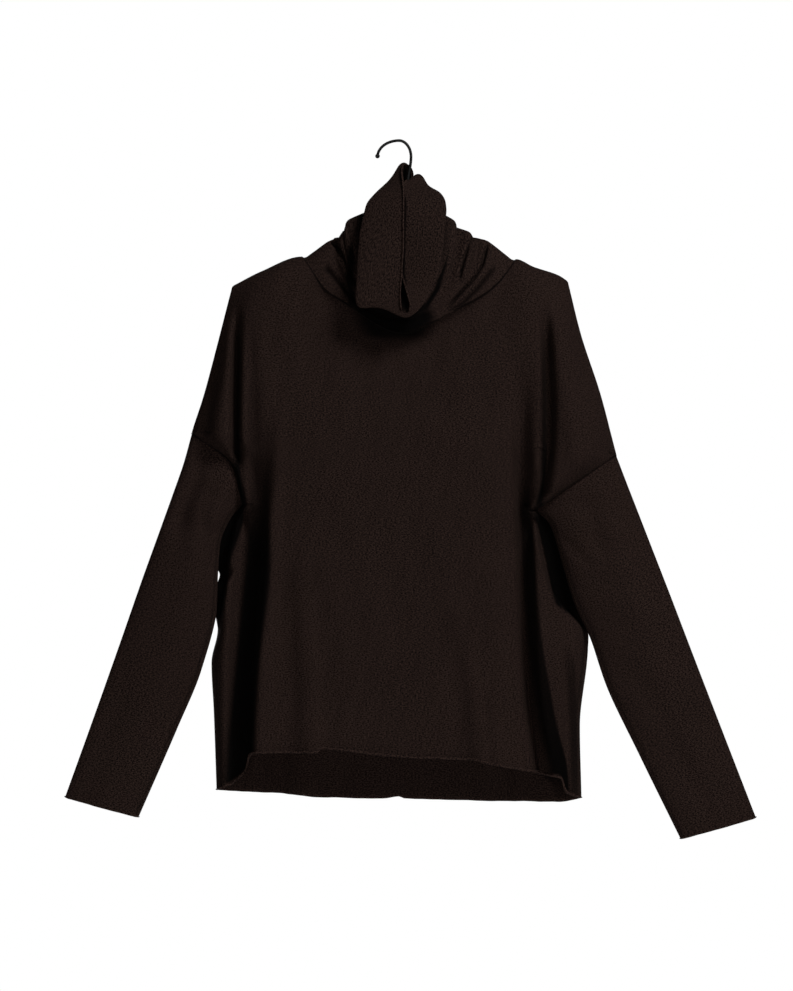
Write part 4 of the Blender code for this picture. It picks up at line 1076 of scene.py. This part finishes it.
def buildStitchTree():
    # one small stitch at every step along each path, their lengths a little uneven
    tree, entry, leave = treeWith("stitchesAlongPath", (
        ("Pitch", "NodeSocketFloat"), ("Length", "NodeSocketFloat"), ("Radius", "NodeSocketFloat"),
        ("Seed", "NodeSocketInt"), ("Material", "NodeSocketMaterial")))
    path = addNode(tree, "GeometryNodeMeshToCurve")
    steps = addNode(tree, "GeometryNodeResampleCurve", mode="LENGTH")
    thread = addNode(tree, "GeometryNodeMeshCylinder")
    thread.inputs["Vertices"].default_value = 6
    thread.inputs["Side Segments"].default_value = 2
    tangent = addNode(tree, "GeometryNodeInputTangent")
    align = addNode(tree, "FunctionNodeAlignEulerToVector", axis="Z")
    jitter = addNode(tree, "FunctionNodeRandomValue", data_type="FLOAT")
    jitter.inputs[2].default_value = 0.85
    jitter.inputs[3].default_value = 1.15
    place = addNode(tree, "GeometryNodeInstanceOnPoints")
    smooth = addNode(tree, "GeometryNodeSetShadeSmooth")
    realize = addNode(tree, "GeometryNodeRealizeInstances")
    dress = addNode(tree, "GeometryNodeSetMaterial")
    link = tree.links.new
    link(entry.outputs["Geometry"], path.inputs["Mesh"])
    link(path.outputs["Curve"], steps.inputs["Curve"])
    link(entry.outputs["Pitch"], steps.inputs["Length"])
    link(entry.outputs["Radius"], thread.inputs["Radius"])
    link(entry.outputs["Length"], thread.inputs["Depth"])
    link(tangent.outputs[0], align.inputs["Vector"])
    link(steps.outputs["Curve"], place.inputs["Points"])
    link(thread.outputs["Mesh"], place.inputs["Instance"])
    link(align.outputs[0], place.inputs["Rotation"])
    link(entry.outputs["Seed"], jitter.inputs["Seed"])
    link(jitter.outputs[1], place.inputs["Scale"])
    link(place.outputs["Instances"], realize.inputs["Geometry"])
    link(realize.outputs["Geometry"], smooth.inputs["Geometry"])
    link(smooth.outputs["Geometry"], dress.inputs["Geometry"])
    link(entry.outputs["Material"], dress.inputs["Material"])
    link(dress.outputs["Geometry"], leave.inputs["Geometry"])
    return tree


tubeTree = buildTubeTree()
stitchTree = buildStitchTree()


def alongPaths(name, paths, tree, values):
    # runs a node tree over open or closed paths and keeps the plain mesh that it makes
    points, edges = [], []
    for path, closed in paths:
        base = len(points)
        points.extend([tuple(map(float, point)) for point in path])
        edges.extend([(base + k, base + k + 1) for k in range(len(path) - 1)])
        if closed:
            edges.append((base + len(path) - 1, base))
    mesh = bpy.data.meshes.new(name + "Path")
    mesh.from_pydata(points, edges, [])
    maker = bpy.data.objects.new(name + "Path", mesh)
    bpy.context.scene.collection.objects.link(maker)
    modifier = maker.modifiers.new("maker", "NODES")
    modifier.node_group = tree
    for item in tree.interface.items_tree:
        if item.in_out == "INPUT" and item.name in values:
            modifier[item.identifier] = values[item.name]
    graph = bpy.context.evaluated_depsgraph_get()
    made = bpy.data.meshes.new_from_object(maker.evaluated_get(graph), depsgraph=graph)
    made.name = name
    bpy.data.objects.remove(maker, do_unlink=True)
    piece = bpy.data.objects.new(name, made)
    bpy.context.scene.collection.objects.link(piece)
    return piece


def plainMaterial(name, colour, roughness, specular):
    material = bpy.data.materials.new(name)
    material.use_nodes = True
    shader = material.node_tree.nodes["Principled BSDF"]
    grain = addNode(material.node_tree, "ShaderNodeTexNoise")
    grain.inputs["Scale"].default_value = 900.0
    place = addNode(material.node_tree, "ShaderNodeTexCoord")
    spread = addNode(material.node_tree, "ShaderNodeMapRange")
    spread.inputs["To Min"].default_value = roughness - 0.06
    spread.inputs["To Max"].default_value = roughness + 0.06
    material.node_tree.links.new(place.outputs["Object"], grain.inputs["Vector"])
    material.node_tree.links.new(grain.outputs["Fac"], spread.inputs["Value"])
    material.node_tree.links.new(spread.outputs["Result"], shader.inputs["Roughness"])
    shader.inputs["Base Color"].default_value = colour
    shader.inputs["Specular IOR Level"].default_value = specular
    return material


def hookPath():
    s = wireSettings
    tipDrop = s["fall"] - s["radius"]
    points = []
    for angle in np.linspace(math.pi * 0.985, math.pi / 2, 40):
        points.append((s["leftReach"] * math.cos(angle), 0.0, -tipDrop + s["fall"] * math.sin(angle)))
    for angle in np.linspace(math.pi / 2, 0, 40)[1:]:
        points.append((s["rightReach"] * math.cos(angle), 0.0, -tipDrop + s["fall"] * math.sin(angle)))
    for share in np.linspace(0, 1, 24)[1:]:
        x = mixOf(s["rightReach"], s["stemX"], float(rampOf(share)))
        points.append((x, 0.0, -tipDrop - s["easeDrop"] * share))
    points.append((s["stemX"], 0.0, -s["stemEnd"]))
    return points


def makeHook():
    wirePaint = plainMaterial("blackWire", wireSettings["colour"], 0.50, 0.12)
    path = hookPath()
    hook = alongPaths("hookWire", [(path, False)], tubeTree, {
        "Radius": wireSettings["radius"], "Sides": wireSettings["sides"], "Material": wirePaint})
    build = bmesh.new()
    build.from_mesh(hook.data)
    ball = bmesh.ops.create_uvsphere(build, u_segments=20, v_segments=12, radius=wireSettings["ball"])
    for vertex in ball["verts"]:
        vertex.co.x += path[0][0]
        vertex.co.z += path[0][2]
    bmesh.ops.recalc_face_normals(build, faces=build.faces)
    build.to_mesh(hook.data)
    build.free()
    hook.data.shade_smooth()
    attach(hook, "root")
    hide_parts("hook")
    return hook


hookWire = makeHook()
barPaint = plainMaterial("blackBar", (0.012, 0.012, 0.012, 1.0), 0.5, 0.3)
for bar in [item for item in bpy.data.objects if item.name.split(".")[0] == "hanger"]:
    for slot in bar.material_slots:
        slot.link = "OBJECT"
        slot.material = barPaint
print("hook made")


# Stitches beside the seams

stitchSettings = {"pitch": 0.0034, "length": 0.0023, "radius": 0.00022, "seed": 7}


def makeStitches():
    thread = plainMaterial("darkThread", (0.004, 0.0028, 0.0025, 1.0), 0.8, 0.05)
    stitches = alongPaths("seamStitches", [(path, False) for path in seamPaths], stitchTree, {
        "Pitch": stitchSettings["pitch"], "Length": stitchSettings["length"],
        "Radius": stitchSettings["radius"], "Seed": stitchSettings["seed"], "Material": thread})
    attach(stitches, "root")
    return stitches


seamStitches = makeStitches()
print("stitches made")


# Stage, light and camera

stageSettings = {"floorDrop": 1.20, "reach": 1.8, "tone": 0.92, "backdrop": 1.0, "room": 0.035}
cameraSettings = {"away": 7.0, "pixel": 0.0012, "frame": (793, 991), "hookPixel": (399, 142)}


def makeStage():
    material = bpy.data.materials.new("paleFloor")
    material.use_nodes = True
    shader = material.node_tree.nodes["Principled BSDF"]
    shader.inputs["Base Color"].default_value = (stageSettings["tone"],) * 3 + (1,)
    shader.inputs["Roughness"].default_value = 0.9
    drop, reach = stageSettings["floorDrop"], stageSettings["reach"]
    mesh = bpy.data.meshes.new("paleFloor")
    corners = [(-reach, -reach, -drop), (reach, -reach, -drop), (reach, reach, -drop), (-reach, reach, -drop)]
    mesh.from_pydata(corners, [], [(0, 1, 2, 3)])
    mesh.materials.append(material)
    floor = bpy.data.objects.new("paleFloor", mesh)
    bpy.context.scene.collection.objects.link(floor)


def addLight(name, place, size, power, aim):
    light = bpy.data.lights.new(name, "AREA")
    light.shape = "RECTANGLE"
    light.size, light.size_y = size
    light.energy = power
    lamp = bpy.data.objects.new(name, light)
    lamp.location = place
    way = np.array(aim) - np.array(place)
    tilt = math.atan2(math.hypot(way[0], way[1]), -way[2])
    lamp.rotation_euler = (tilt, 0, math.atan2(way[1], way[0]) - math.pi / 2)
    bpy.context.scene.collection.objects.link(lamp)


def makeWorld():
    # a white backdrop behind everything, and a much dimmer room that lights the cloth
    world = bpy.data.worlds.new("paleRoom")
    world.use_nodes = True
    tree = world.node_tree
    room = tree.nodes["Background"]
    room.inputs["Color"].default_value = (1, 1, 1, 1)
    room.inputs["Strength"].default_value = stageSettings["room"]
    backdrop = addNode(tree, "ShaderNodeBackground")
    backdrop.inputs["Color"].default_value = (1, 1, 1, 1)
    backdrop.inputs["Strength"].default_value = stageSettings["backdrop"]
    ray = addNode(tree, "ShaderNodeLightPath")
    either = addNode(tree, "ShaderNodeMixShader")
    tree.links.new(ray.outputs["Is Camera Ray"], either.inputs[0])
    tree.links.new(room.outputs[0], either.inputs[1])
    tree.links.new(backdrop.outputs[0], either.inputs[2])
    tree.links.new(either.outputs[0], tree.nodes["World Output"].inputs["Surface"])
    bpy.context.scene.world = world


def makeCamera():
    pixel = cameraSettings["pixel"]
    width, height = cameraSettings["frame"]
    hookX, hookY = cameraSettings["hookPixel"]
    camera = bpy.data.cameras.new("photoCamera")
    camera.sensor_fit = "HORIZONTAL"
    camera.sensor_width = 36.0
    camera.lens = 36.0 * cameraSettings["away"] / (width * pixel)
    camera.clip_end = 60.0
    holder = bpy.data.objects.new("photoCamera", camera)
    holder.location = ((width / 2 - hookX) * pixel, -cameraSettings["away"], (hookY - height / 2) * pixel)
    holder.rotation_euler = (math.pi / 2, 0, 0)
    bpy.context.scene.view_settings.view_transform = "Standard"
    bpy.context.scene.collection.objects.link(holder)
    bpy.context.scene.camera = holder


makeStage()
makeWorld()
addLight("keySoft", (1.7, -2.2, 2.1), (1.0, 1.0), 138, (0, 0, -0.4))
addLight("fillSoft", (-0.1, -3.2, -0.9), (1.0, 1.0), 25, (0, 0, -0.6))
addLight("backSoft", (-1.0, 2.8, 0.4), (1.2, 1.2), 40, (0, 0, -0.4))
makeCamera()
print("stage made")
